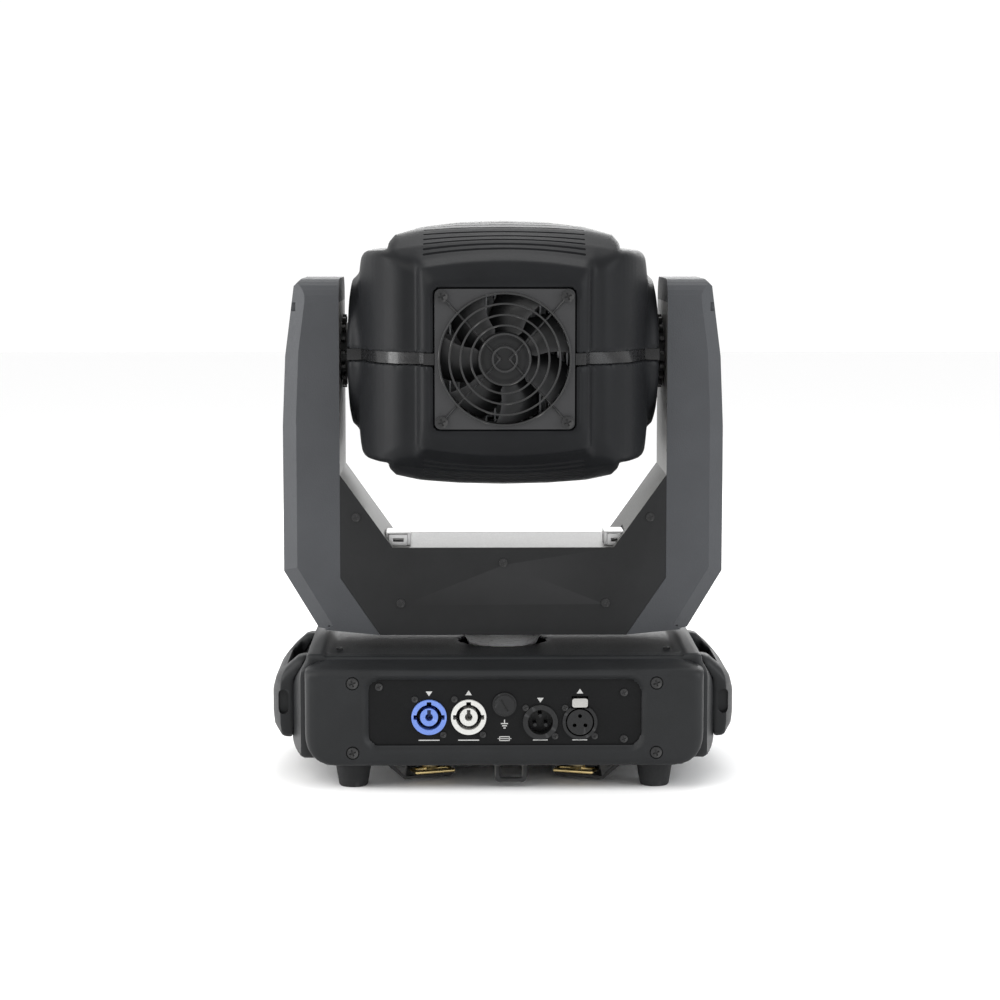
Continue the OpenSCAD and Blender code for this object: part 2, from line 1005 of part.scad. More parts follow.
module main_board() {
    color([0.05, 0.3, 0.16]) {
        translate([-118, -58, plate_top + 5])
            cube([46, 92, 1.6]);
        translate([-112, -50, plate_top + 6])
            cube([14, 30, 8]);
        translate([-92, -20, plate_top + 6])
            cube([14, 14, 2.4]);
        for (i = [0:3])
            translate([-108 + 9 * i, 14, plate_top + 6])
                cylinder(h = 10, r = 3.2);
        for (x = [-114, -76], y = [-54, 30])
            translate([x, y, plate_top])
                cylinder(h = 5.5, r = 2);
    }
}

// Every fixed screw of the base: eight in the bezels, eleven on the panel and four in the basin
module base_screws() {
    color([0.14, 0.14, 0.15]) {
        both_y()
            at_bezel_screws()
                translate([0, counterbore_d, 0])
                    rotate([90, 0, 0])
                        cross_screw(bezel_head_r, bezel_head_h, bezel_shank_r, 9);
        for (p = connector_screws())
            translate([p[0], panel_face, p[1]])
                rotate([90, 0, 0])
                    cross_screw(small_head_r, small_head_h, small_screw_r - 0.02, 5);
        for (p = panel_screws)
            translate([p[0], panel_face, p[1]])
                rotate([90, 0, 0])
                    cross_screw(small_head_r + 0.4, small_head_h, small_screw_r - 0.02, 5);
        both_y()
            for (p = basin_screws)
                translate([p[0], p[1], basin_top])
                    cross_screw(2.4, 1.4, basin_screw_r - 0.02, 6);
    }
}

// ---- yoke ----

slope_a = atan2(slope_top - cross_top, arm_gap - cross_half_w);
liner_top = 325;
web_x = 104;
rib_x = 58;
frame_low = 97;
arm_shaft_r = 15;
arm_race_r = 21;
tilt_bearing_x = 115;
collar_r = 20;
hub_ribs = 16;

// The bent liner: the arms' inner faces, the two slopes and the cross member's top
module liner_outline(t) {
    lift = t * tan((90 - slope_a) / 2);
    out = t * tan(slope_a / 2);
    inner = [[arm_gap, liner_top], [arm_gap, slope_top], [cross_half_w, cross_top]];
    outer = [[cross_half_w + out, cross_top - t], [arm_gap + t, slope_top - lift], [arm_gap + t, liner_top]];
    polygon(concat(inner, flip_x(inner), [for (q = reversed(outer)) [-q[0], q[1]]], outer));
}

module yoke_frame() {
    d = yoke_half_d - yoke_wall;
    color(sheet_grey)
        difference() {
            union() {
                along_y(-d, d)
                    liner_outline(yoke_wall);
                translate([-84, -d, frame_low])
                    cube([168, 2 * d, 3]);
                both_x() {
                    translate([rib_x, -d + 2, frame_low + 2])
                        cube([2, 2 * d - 4, cross_top - frame_low - 3]);
                    translate([web_x, -d + 2, 106])
                        cube([2, 2 * d - 4, 88]);
                    for (y = [-d + 2, d - 4])
                        translate([rib_x, y, 104])
                            cube([web_x - rib_x + 1, 2, 40]);
                    translate([0, 0, tilt_z])
                        on_x(arm_gap + 0.5)
                            cylinder(h = 10, r = arm_race_r + 5);
                }
            }
            both_x()
                translate([0, 0, tilt_z]) {
                    on_x(arm_gap - 1)
                        cylinder(h = 4, r = collar_r + 1);
                    on_x(arm_gap - 1)
                        cylinder(h = 20, r = arm_race_r);
                }
            translate([0, 0, frame_low - 1])
                cylinder(h = 8, r = 15);
            for (b = blocks)
                translate([b[0] - 0.3, block_rear - 3.3, cross_top])
                    cube([b[1] - b[0] + 0.6, 31.6, 16]);
            translate([0, 0, tilt_motor_z])
                on_x(-web_x - 4)
                    cylinder(h = 8, r = 11.3);
            for (p = cover_screws, s = [-1, 1])
                translate([p[0], s * (d - 6) - 4, p[1]])
                    on_y(0)
                        cylinder(h = 8, r = 3);
        }
}

// The two corner blocks, each by its two sides in X and its height
blocks = [[-81, -64, 9], [70, 84, 9.5]];
block_rear = -35;
cover_screws = [[0, 146.5], [101, 178], [-101, 178], [70.5, 118.5], [-70.5, 118.5]];
seam_kink_z = 136;
seam_low_x = 85;
cover_screw_r = 1.5;

module cover_outline(gap) {
    half = [
        [seam_low_x - gap, yoke_bottom], [arm_gap - gap, seam_kink_z], [arm_gap - gap, slope_top],
        [cross_half_w, cross_top]
    ];
    polygon(concat(half, flip_x(half)));
}

module yoke_covers() {
    color([0.2, 0.205, 0.21])
        both_y()
            along_y(-yoke_half_d, -yoke_half_d + yoke_wall)
                difference() {
                    cover_outline(0.15);
                    for (p = cover_screws)
                        translate(p)
                            circle(cover_screw_r);
                }
}

// The arm's outline seen from behind: edge is its outer side, from the top down
function arm_edge(t) = [
    [143 - t, 336 - t / 2], [149.2 - t, 288], [151.2 - t, 240], [151.2 - t, 140 + t / 3],
    [127.5 - t / 2, 100.6 + t]
];

slant_step = 0.37;

// Cuts the long edges of an arm block to a slant, segment by segment, a little wider each time
module edge_slant(path, half_d, slant_x, slant_y) {
    for (i = [0:len(path) - 2]) {
        p = path[i];
        q = path[i + 1];
        in_x = slant_x + slant_step * i;
        in_y = slant_y + slant_step * i;
        run = norm(q - p);
        turn = atan2(q[1] - p[1], q[0] - p[0]);
        translate([p[0], -half_d, p[1]])
            rotate([0, -turn, 0])
                along_x(-3, run + 3)
                    polygon([[-1, -in_x * (1 + 1 / in_y)], [in_y * (1 + 1 / in_x), 1], [-1, 1]]);
    }
}

module arm_block(t) {
    d = yoke_half_d - t;
    top = arm_top - t;
    r = 15 - t;
    edge = arm_edge(t);
    outline = t > 0
        ? concat([[arm_gap + t, top], [138 - t, top]], edge, [[70, yoke_bottom + t - 1], [70, seam_kink_z],
            [90, seam_kink_z], [90, liner_top], [arm_gap + t, liner_top]])
        : concat([[arm_gap, top], [138, top]], edge, [[seam_low_x, yoke_bottom], [arm_gap, seam_kink_z]]);
    half = concat([[-d, 0]], [for (q = reversed(arc(-d + r, top - r, r, 90, 180))) q]);
    difference() {
        intersection() {
            along_y(-d, d)
                polygon(outline);
            along_x(0, 200)
                polygon(concat(half, flip_x(half)));
        }
        both_y()
            edge_slant(edge, d, 9 - t / 2, 8 - t / 2);
    }
}

pocket_turn = atan2(140 - 100.6, 151.2 - 127.5);

module arm_shell() {
    difference() {
        arm_block(0);
        arm_block(yoke_wall);
        both_y()
            translate([141.8, -yoke_half_d - 1, 319])
                cube([10, 9, 6]);
        both_y()
            translate([140.5, -30, 122])
                rotate([0, 90 + (90 - pocket_turn), 0])
                    translate([0, 0, -9])
                        cylinder(h = 20, r = 2);
    }
}

module arm_shell_right() {
    color([0.3, 0.305, 0.315])
        arm_shell();
}

module arm_shell_left() {
    color([0.3, 0.305, 0.315])
        mirror([1, 0, 0])
            arm_shell();
}

// The grey blocks with bright faces in the two lower inner corners
module corner_blocks() {
    color([0.7, 0.7, 0.7])
        for (b = blocks)
            translate([b[0], block_rear, cross_top])
                difference() {
                    union() {
                        cube([b[1] - b[0], 28, b[2]]);
                        translate([2, -3, 0])
                            cube([b[1] - b[0] - 4, 3.5, b[2] - 1]);
                    }
                    translate([5, -4, 3])
                        cube([b[1] - b[0] - 10, 10, 2]);
                }
}

module tilt_motor() {
    color([0.1, 0.1, 0.11])
        translate([-web_x, 0, tilt_motor_z])
            rotate([0, -90, 0])
                translate([0, 0, -38])
                    stepper(38, 38 + tilt_pulley_x + pulley_face + 1 - web_x);
}

tilt_pulley_x = 125;

module tilt_motor_pulley() {
    color([0.7, 0.7, 0.72])
        translate([-tilt_pulley_x, 0, tilt_motor_z])
            rotate([0, -90, 0])
                pulley(motor_r, motor_teeth, shaft_r + 0.05);
}

module tilt_belt() {
    color([0.05, 0.05, 0.05])
        translate([-tilt_pulley_x - 1, 0, tilt_z])
            rotate([0, -90, 0])
                rotate([0, 0, 180])
                    belt(tilt_z - tilt_motor_z);
}

module tilt_bearings() {
    color(steel)
        both_x()
            translate([0, 0, tilt_z])
                on_x(tilt_bearing_x)
                    ball_bearing(arm_shaft_r + 0.05, arm_race_r - 0.02, 7, 14);
}

module yoke_screws() {
    color([0.14, 0.14, 0.15])
        both_y()
            for (p = cover_screws)
                translate([p[0], -yoke_half_d, p[1]])
                    rotate([90, 0, 0])
                        cross_screw(2.9, 0.9, cover_screw_r - 0.02, 5);
}

// ---- head ----

column_half_w = 56.5;
window_gap = 0.4;
fan_face = -(head_reach - 3.3);
cap_r = 53;

// Outline of the head seen from behind, about the tilt axis
module head_section(t) {
    w = head_half_w - t;
    h = head_half_h - t;
    quarter = concat(
        [[w, 0], [w, 16], [w - 1.2, 36], [w - 3, 50], [w - 6, 54.5]],
        arc(w - 18, 61 - t, 9.5, 10, 80, 3),
        [[78 - t, 71.5 - t], [77 - t, 76 - t], [73 - t, 81 - t], [56, h - 5], [30, h - 1.4], [0, h]]
    );
    half = concat(flip_y(quarter), quarter);
    polygon(concat(half, flip_x(half)));
}

// Outline of the head from the side, about the tilt axis: Y is the first number
module head_side(t) {
    half = [
        [-head_reach + 2 + t, 0], [-head_reach + 2 + t, 44 - t], [-head_reach + 3.5 + t, 54 - t], [-113 + t, 64 - t],
        [-104 + t, 69.5 - t], [-92 + t, 77 - t], [-70, 84.5 - t], [-40, 89.5 - t], [-8, head_half_h - t],
        [25, 90 - t], [55, 84 - t], [82, 73 - t], [100 - t / 2, 62 - t], [113, 58 - t], [113, 0]
    ];
    polygon(concat(half, flip_y(half)));
}

// Outline of the head in plan
module head_plan(t) {
    half = [
        [0, -head_reach + 2 + t], [50 - t, -head_reach + 2 + t], [column_half_w - 1.5 - t, -head_reach + 4 + t],
        [column_half_w + 1.5 - t, -107 + t], [72 - t, -101 + t], [85 - t, -87 + t], [94 - t, -66 + t],
        [99.5 - t, -48], [99.5 - t, 48], [94 - t, 70], [82 - t, 92], [68 - t, 107], [60 - t, 113], [0, 113]
    ];
    polygon(concat(half, flip_x(half)));
}

// Nose of revolution that turns the square front into a round one
module head_nose(t) {
    on_y(0)
        rotate_extrude($fn = 96)
            polygon([[0, -140], [150, -140], [150, 30], [124 - t, 62], [88 - t, 92], [62 - t, 113], [0, 113]]);
}

// The round side caps on the tilt axis
module side_caps(t) {
    both_x()
        on_x(80)
            cylinder(h = head_half_w - 80 - t, r = cap_r - t, $fn = 96);
}

// Everything inside this turned body clears the yoke while the head tilts
module tilt_sweep(t) {
    half = [
        [132 - t, 0], [132 - t, 57], [121.5 - t, 61], [121 - t, 80], [118 - t, 84], [98 - t, 100], [85 - t, 109],
        [0, 109]
    ];
    both_x()
        on_x(0)
            rotate_extrude($fn = 96)
                polygon(concat([[0, 0]], half));
}

module head_solid(t) {
    intersection() {
        tilt_sweep(t);
        union() {
            intersection() {
                linear_extrude(300, center = true)
                    head_plan(t);
                head_nose(t);
            }
            side_caps(t);
        }
        along_y(-200, 200)
            head_section(t);
        along_x(-200, 200)
            head_side(t);
    }
}

vent_rows = [-100, -95.5, -90.5, -84.5, -77.5, -69, -58, -45];
vent_half_w = 54;

// Vent slots in the upper shell: narrow rows across the arched top
module vents() {
    for (i = [0:len(vent_rows) - 1])
        translate([0, vent_rows[i], 60])
            linear_extrude(60)
                rounded_rect(2 * vent_half_w, 2.4, 1.1);
}

// A head shell without its band: up is 1 for the upper shell and -1 for the lower one
module head_shell(up) {
    translate([0, 0, tilt_z])
        difference() {
            head_solid(0);
            head_solid(head_wall);
            translate([-200, -200, up > 0 ? band_half_h - 300 : -band_half_h])
                cube([400, 400, 300]);
            translate([0, -head_reach + 10, 0])
                cube([fan_w + 2 * window_gap, 60, fan_w + 2 * window_gap], center = true);
            both_x()
                on_x(90)
                    cylinder(h = 30, r = collar_r + 0.8);
            on_y(100)
                cylinder(h = 30, r = lens_r + 6.3, $fn = 96);
            mirror([0, 0, up > 0 ? 0 : 1])
                vents();
        }
}

module head_shell_upper() {
    color([0.17, 0.175, 0.18])
        head_shell(1);
}

module head_shell_lower() {
    color([0.17, 0.175, 0.18])
        head_shell(-1);
}

rail_x = 62;
rail_half_h = 27;
rod_x = 46;
rod_r = 3;
saddle_x = 92;
carriage_y = 44;
colour_y = -8;
gobo_y = 8;

// The frame that carries everything: its rim shows as the band between the shells
module optic_frame() {
    color([0.07, 0.07, 0.075])
        translate([0, 0, tilt_z])
            difference() {
                union() {
                    difference() {
                        intersection() {
                            head_solid(1.6);
                            cube([400, 400, 2 * band_half_h - 0.4], center = true);
                        }
                        intersection() {
                            head_solid(7);
                            cube([400, 400, 2 * band_half_h + 2], center = true);
                        }
                    }
                    both_x() {
                        translate([rail_x, -60, -rail_half_h])
                            cube([2, 163.5, 2 * rail_half_h]);
                        translate([saddle_x, -40, -40])
                            cube([3, 80, 80]);
                        for (y = [-36, 32])
                            translate([rail_x, y, -2])
                                cube([saddle_x - rail_x + 1, 4, 4]);
                        translate([rail_x, -56, -2])
                            cube([29.5, 4, 4]);
                        translate([rail_x, 92, -2])
                            cube([9, 6, 4]);
                        translate([rod_x, 0, 0])
                            on_y(18)
                                cylinder(h = 84, r = rod_r);
                    }
                    on_y(16)
                        difference() {
                            translate([0, 0, 1.5])
                                cube([2 * rail_x + 2, 2 * rail_half_h, 3], center = true);
                            cylinder(h = 10, r = 24, center = true);
                        }
                    on_y(101)
                        difference() {
                            translate([0, 0, 1.5])
                                cube([2 * rail_x + 2, 2 * rail_half_h, 3], center = true);
                            translate([0, 0, -1])
                                cylinder(h = 6, r = 26);
                        }
                    on_y(-1.5)
                        difference() {
                            translate([0, 0, 1.5])
                                cube([2 * rail_x + 2, 2 * rail_half_h, 3], center = true);
                            translate([0, 0, -1])
                                cylinder(h = 6, r = 14);
                        }
                    for (x = [-26, 26])
                        translate([x, 0, 0])
                            on_y(-15)
                                cylinder(h = 30, r = 2.4);
                }
                both_x()
                    on_x(saddle_x - 1)
                        cylinder(h = 30, r = collar_r + 0.8);
                both_x()
                    on_x(saddle_x + 3)
                        cylinder(h = 5, r = 34.5);
                on_y(104.3)
                    cylinder(h = 30, r = lens_r + 6.3, $fn = 96);
                translate([0, -head_reach + 10, 0])
                    cube([fan_w + 2 * window_gap, 60, fan_w + 2 * window_gap], center = true);
            }
}

module tilt_trunnions() {
    color(steel)
        both_x()
            translate([0, 0, tilt_z])
                on_x(0) {
                    rotate_extrude()
                        polygon([
                            [11, saddle_x - 2], [collar_r + 0.4, saddle_x - 2], [collar_r + 0.4, saddle_x + 3],
                            [34, saddle_x + 3], [34, saddle_x + 7], [collar_r, saddle_x + 7],
                            [collar_r, tilt_bearing_x - 0.5], [arm_shaft_r, tilt_bearing_x - 0.5],
                            [arm_shaft_r, 137], [11, 137]
                        ]);
                    for (i = [0:hub_ribs - 1])
                        rotate([0, 0, 360 * i / hub_ribs])
                            translate([collar_r - 1, -1.2, head_half_w + 0.6])
                                cube([6.5, 2.4, arm_gap - head_half_w - 1.2]);
                }
}

module tilt_pulley() {
    color([0.7, 0.7, 0.72])
        translate([-tilt_pulley_x, 0, tilt_z])
            rotate([0, -90, 0])
                difference() {
                    pulley(driven_r, driven_teeth, arm_shaft_r + 0.02);
                    for (a = [0:60:300])
                        rotate([0, 0, a])
                            translate([27.5, 0, -3])
                                cylinder(h = 16, r = 6);
                }
}

fan_bore_r = 44;
fan_hub_r = 18;
blade_tip_r = 42.6;

module at_fan_screws() {
    for (x = [-1, 1], z = [-1, 1])
        translate([x * fan_pitch / 2, 0, tilt_z + z * fan_pitch / 2])
            children();
}

module fan_frame() {
    color([0.11, 0.11, 0.115])
        difference() {
            union() {
                difference() {
                    translate([0, 0, tilt_z])
                        along_y(fan_face, fan_face + fan_d)
                            difference() {
                                rounded_rect(fan_w, fan_w, 4);
                                circle(fan_bore_r);
                            }
                    translate([0, fan_face + fan_d / 2, tilt_z])
                        cube([fan_w + 2, fan_d - 8, 60], center = true);
                    translate([0, fan_face + fan_d / 2, tilt_z])
                        cube([60, fan_d - 8, fan_w + 2], center = true);
                }
                translate([0, 0, tilt_z])
                    on_y(fan_face)
                        ring(fan_bore_r + 1.4, fan_bore_r, fan_d);
                translate([0, 0, tilt_z]) {
                    on_y(fan_face + fan_d - 3)
                        cylinder(h = 3, r = fan_hub_r);
                    for (a = [20, 110, 200, 290])
                        rotate([0, a, 0])
                            translate([0, fan_face + fan_d - 3, -2])
                                cube([fan_bore_r + 1, 3, 4]);
                }
            }
            at_fan_screws()
                on_y(fan_face - 1)
                    cylinder(h = fan_d + 2, r = 2.2);
        }
}

module fan_rotor() {
    color([0.13, 0.13, 0.135])
        translate([0, fan_face, tilt_z]) {
            on_y(2.5)
                cylinder(h = fan_d - 6.5, r = fan_hub_r);
            intersection() {
                for (i = [0:fan_blades - 1])
                    rotate([0, 360 * i / fan_blades, 0])
                        translate([fan_hub_r - 1, 11.5, 0])
                            rotate([38, 0, 0])
                                rotate([0, -14, 0])
                                    translate([0, -0.8, -11])
                                        cube([30, 1.6, 22]);
                on_y(3)
                    cylinder(h = fan_d - 8, r = blade_tip_r);
            }
        }
}

guard_rings = [8, 16.7, 22.3, 29.2, 36.4, 43.2];
guard_wire_r = 0.7;

// Wire guard: concentric rings on two bent wires that run to the four screws
module fan_guard() {
    y = fan_face - guard_wire_r;
    knee = 3;
    reach = fan_pitch / 2;
    run = norm([reach - knee, reach]) - 2.9;
    lean = atan2(reach, reach - knee);
    color([0.2, 0.2, 0.21])
        translate([0, 0, tilt_z]) {
            for (r = guard_rings)
                on_y(y - 1.1)
                    rotate_extrude()
                        translate([r, 0])
                            circle(guard_wire_r, $fn = 16);
            for (s = [-1, 1], a = [-1, 1])
                translate([s * knee, y, 0])
                    rotate([0, s > 0 ? -a * lean : 180 + a * lean, 0])
                        on_x(0)
                            cylinder(h = run, r = guard_wire_r, $fn = 16);
            for (x = [-1, 1], z = [-1, 1])
                translate([x * reach, y, z * reach])
                    on_y(-guard_wire_r)
                        ring(3.4, 2.2, 2 * guard_wire_r);
        }
}

module head_screws() {
    color([0.1, 0.1, 0.105]) {
        at_fan_screws()
            translate([0, fan_face - 2 * guard_wire_r, 0])
                rotate([90, 0, 0])
                    cross_screw(3.9, 1.9, 2.1, 16);
    }
}

fin_count = 15;
fin_pitch = 6;
fin_t = 1.3;
sink_rear = -90;
sink_front = -52;

module heatsink() {
    color([0.78, 0.79, 0.8])
        translate([0, 0, tilt_z]) {
            for (i = [0:fin_count - 1])
                translate([(i - (fin_count - 1) / 2) * fin_pitch - fin_t / 2, sink_rear, -43])
                    cube([fin_t, sink_front - sink_rear + 1, 86]);
            translate([-44, sink_front, -43])
                cube([88, 6, 86]);
        }
}

module led_engine() {
    color([0.72, 0.5, 0.3])
        translate([0, 0, tilt_z]) {
            on_y(sink_front + 6)
                cylinder(h = 3, r = 26);
            on_y(sink_front + 9)
                difference() {
                    cylinder(h = 22, r1 = 12, r2 = 24);
                    translate([0, 0, 1])
                        cylinder(h = 22, r1 = 9.5, r2 = 22.5);
                }
            on_y(sink_front + 9)
                translate([-7, -7, 0])
                    cube([14, 14, 0.8]);
        }
}

// An effect wheel about its own spindle, with round windows on the beam's radius
module effect_wheel(x, y, r, windows, window_r) {
    pitch_r = abs(x);
    translate([x, 0, tilt_z])
        on_y(y)
            difference() {
                union() {
                    cylinder(h = 1.6, r = r);
                    translate([0, 0, -1])
                        cylinder(h = 4, r = 6);
                }
                translate([0, 0, -3])
                    cylinder(h = 8, r = 2.45);
                for (i = [0:windows - 1])
                    rotate([0, 0, 360 * i / windows])
                        translate([pitch_r, 0, -3])
                            cylinder(h = 8, r = window_r);
            }
}

module colour_wheel() {
    color([0.55, 0.56, 0.58])
        effect_wheel(-26, colour_y, 34, 9, 6.8);
}

module gobo_wheel() {
    color([0.5, 0.5, 0.52])
        effect_wheel(26, gobo_y, 34, 8, 6.8);
}

module focus_carriage() {
    color([0.12, 0.12, 0.13])
        translate([0, 0, tilt_z])
            on_y(carriage_y)
                difference() {
                    union() {
                        linear_extrude(5)
                            rounded_rect(2 * rod_x + 14, 30, 6);
                        cylinder(h = 7, r = 30);
                        for (x = [-rod_x, rod_x])
                            translate([x, 0, 0])
                                cylinder(h = 14, r = 6);
                    }
                    translate([0, 0, 4.5])
                        cylinder(h = 8, r = 26);
                    for (x = [-rod_x, rod_x])
                        translate([x, 0, -1])
                            cylinder(h = 20, r = rod_r + 0.05);
                }
}

module lens_bezel() {
    color([0.09, 0.09, 0.095])
        translate([0, 0, tilt_z])
            on_y(0)
                rotate_extrude($fn = 96)
                    polygon([
                        [lens_r - 3, 104.5], [lens_r + 6, 104.5], [lens_r + 6, 113], [lens_r + 8, 113.2],
                        [lens_r + 7, head_reach - 1.5], [lens_r + 5, head_reach], [lens_r + 1, head_reach],
                        [lens_r, 117.5], [lens_r, 107], [lens_r - 3, 107]
                    ]);
}

// A plano-convex front lens
module front_lens() {
    color([0.75, 0.82, 0.86, 0.5])
        translate([0, 0, tilt_z])
            on_y(107.1)
                intersection() {
                    cylinder(h = 12, r = lens_r - 0.2, $fn = 96);
                    translate([0, 0, -150 + 10.5])
                        sphere(150, $fn = 96);
                }
}

base_chassis();
base_housing();
rear_bezel();
front_bezel();
connector_panel();
display_window();
power_inlet();
power_outlet();
fuse_holder();
fuse_cap();
data_inlet();
data_outlet();
data_latch();
menu_button_1();
menu_button_2();
menu_button_3();
menu_button_4();
carry_handle_left();
carry_handle_right();
rubber_feet();
safety_eye();
omega_brackets();
quarter_turn_left_rear();
quarter_turn_left_front();
quarter_turn_right_rear();
quarter_turn_right_front();
power_supply();
main_board();
base_screws();
pan_bearing();
pan_motor();
pan_motor_pulley();
pan_belt();
pan_hub();
yoke_frame();
yoke_covers();
arm_shell_left();
arm_shell_right();
corner_blocks();
tilt_motor();
tilt_motor_pulley();
tilt_belt();
tilt_bearings();
yoke_screws();
optic_frame();
head_shell_upper();
head_shell_lower();
tilt_trunnions();
tilt_pulley();
fan_frame();
fan_rotor();
fan_guard();
head_screws();
heatsink();
led_engine();
colour_wheel();
gobo_wheel();
focus_carriage();
lens_bezel();
front_lens();
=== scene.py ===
"""Moving head spotlight, dressed for rendering: softer moulded shells, better fan blades, printed marks
and a procedural material on every piece. Works in metres; outlines are written in millimetres."""
import json
import math

import bpy
import numpy as np
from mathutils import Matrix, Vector


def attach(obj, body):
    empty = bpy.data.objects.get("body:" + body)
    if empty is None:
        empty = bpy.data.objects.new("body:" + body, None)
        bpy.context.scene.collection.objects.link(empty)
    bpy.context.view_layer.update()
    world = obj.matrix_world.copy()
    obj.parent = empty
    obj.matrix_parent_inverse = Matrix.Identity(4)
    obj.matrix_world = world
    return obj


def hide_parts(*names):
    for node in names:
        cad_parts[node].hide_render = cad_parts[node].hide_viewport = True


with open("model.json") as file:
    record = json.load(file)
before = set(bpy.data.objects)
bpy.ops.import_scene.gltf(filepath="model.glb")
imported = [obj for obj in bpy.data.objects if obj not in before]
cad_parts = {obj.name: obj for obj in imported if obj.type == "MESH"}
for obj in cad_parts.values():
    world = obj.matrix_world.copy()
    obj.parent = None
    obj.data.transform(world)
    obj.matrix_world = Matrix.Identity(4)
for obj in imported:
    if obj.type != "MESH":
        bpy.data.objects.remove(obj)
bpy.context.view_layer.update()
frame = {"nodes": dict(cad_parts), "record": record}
nodes = frame["nodes"]
MM = 0.001
TILT_Z = 290.0            # height of the tilt axis, mm
SHARP_ANGLE = 32          # an edge stays sharp above this many degrees
CUT_SHARP_ANGLE = 35      # the same, on a moulding after its cuts

CAMERA_DISTANCE = 1.865   # metres from the part's middle, seen from above
CAMERA_HEIGHT = 0.379
CAMERA_TURN = 0.8         # degrees from the -Y side towards -X
CAMERA_LENS = 95.9        # mm, on the sensor below
CAMERA_SENSOR = 36
CAMERA_SHIFT = (-0.0023, 0.002)
AIM_HEIGHT = 0.1835
FLOOR_HALF = 6
LIGHT_TARGET = (0, 0, 0.2)
WORLD_STRENGTH = 1.04


# ---------------------------------------------------------------- camera, floor and light

def camera():
    data = bpy.data.cameras.new("camera")
    data.lens = CAMERA_LENS
    data.sensor_width = CAMERA_SENSOR
    data.shift_x, data.shift_y = CAMERA_SHIFT
    cam = bpy.data.objects.new("camera", data)
    turn = math.radians(CAMERA_TURN)
    cam.location = (-CAMERA_DISTANCE * math.sin(turn),
                    -CAMERA_DISTANCE * math.cos(turn), CAMERA_HEIGHT)
    aim = Vector((0, 0, AIM_HEIGHT)) - cam.location
    cam.rotation_euler = aim.to_track_quat("-Z", "Y").to_euler()
    bpy.context.scene.collection.objects.link(cam)
    bpy.context.scene.camera = cam


def area_light(name, place, target, size, power, tint=(1, 1, 1)):
    data = bpy.data.lights.new(name, "AREA")
    data.shape = "RECTANGLE"
    data.size, data.size_y = size
    data.energy = power
    data.color = tint
    lamp = bpy.data.objects.new(name, data)
    lamp.location = place
    lamp.rotation_euler = (Vector(target) - Vector(place)).to_track_quat("-Z", "Y").to_euler()
    bpy.context.scene.collection.objects.link(lamp)


def studio():
    mesh = bpy.data.meshes.new("floor")
    corners = [(FLOOR_HALF * sx, FLOOR_HALF * sy, 0) for sx, sy in ((-1, -1), (1, -1), (1, 1), (-1, 1))]
    mesh.from_pydata(corners, [], [(0, 1, 2, 3)])
    floor = bpy.data.objects.new("floor", mesh)
    bpy.context.scene.collection.objects.link(floor)
    paint = bpy.data.materials.new("floor_paint")
    paint.use_nodes = True
    shader = paint.node_tree.nodes["Principled BSDF"]
    shader.inputs["Base Color"].default_value = (0.93, 0.93, 0.93, 1)
    shader.inputs["Roughness"].default_value = 0.8
    mesh.materials.append(paint)
    world = bpy.data.worlds.new("studio")
    world.use_nodes = True
    world.node_tree.nodes["Background"].inputs["Color"].default_value = (1, 1, 1, 1)
    world.node_tree.nodes["Background"].inputs["Strength"].default_value = WORLD_STRENGTH
    bpy.context.scene.world = world
    bpy.context.scene.view_settings.view_transform = "Standard"
    area_light("key", (-1.1, -1.3, 1.5), LIGHT_TARGET, (1.0, 1.0), 14, (1, 0.985, 0.96))
    area_light("right", (1.5, -0.9, 0.8), LIGHT_TARGET, (0.7, 1.2), 15, (0.96, 0.98, 1))
    area_light("left", (-1.5, -0.2, 0.6), LIGHT_TARGET, (0.6, 1.2), 16)
    area_light("top", (0.1, 0.5, 1.7), LIGHT_TARGET, (1.2, 0.9), 9)
    area_light("back", (0.4, 1.7, 0.9), LIGHT_TARGET, (1.4, 0.8), 12)


# ---------------------------------------------------------------- materials

class Nodes:
    """A small helper that adds nodes to one material and links them."""

    def __init__(self, name):
        self.material = bpy.data.materials.new(name)
        self.material.use_nodes = True
        self.tree = self.material.node_tree
        self.shader = self.tree.nodes["Principled BSDF"]
        self.coords = self.tree.nodes.new("ShaderNodeTexCoord").outputs["Object"]

    def link(self, source, target):
        self.tree.links.new(source, target)

    def noise(self, scale, detail=3, stretch=(1, 1, 1)):
        mapping = self.tree.nodes.new("ShaderNodeMapping")
        mapping.inputs["Scale"].default_value = stretch
        self.link(self.coords, mapping.inputs["Vector"])
        node = self.tree.nodes.new("ShaderNodeTexNoise")
        node.inputs["Scale"].default_value = scale
        node.inputs["Detail"].default_value = detail
        self.link(mapping.outputs["Vector"], node.inputs["Vector"])
        return node.outputs["Fac"]

    def span(self, source, low, high, to_low, to_high):
        node = self.tree.nodes.new("ShaderNodeMapRange")
        for name, value in (("From Min", low), ("From Max", high), ("To Min", to_low), ("To Max", to_high)):
            node.inputs[name].default_value = value
        self.link(source, node.inputs["Value"])
        return node.outputs["Result"]

    def mix(self, factor, first, second):
        node = self.tree.nodes.new("ShaderNodeMix")
        node.data_type = "RGBA"
        self.link(factor, node.inputs[0])
        for value, socket in ((first, node.inputs[6]), (second, node.inputs[7])):
            if isinstance(value, tuple):
                socket.default_value = (*value, 1)
            else:
                self.link(value, socket)
        return node.outputs[2]

    def bump(self, height, strength, distance):
        node = self.tree.nodes.new("ShaderNodeBump")
        node.inputs["Strength"].default_value = strength
        node.inputs["Distance"].default_value = distance
        self.link(height, node.inputs["Height"])
        self.link(node.outputs["Normal"], self.shader.inputs["Normal"])


def shade(colour, factor):
    return tuple(min(1.0, c * factor) for c in colour)


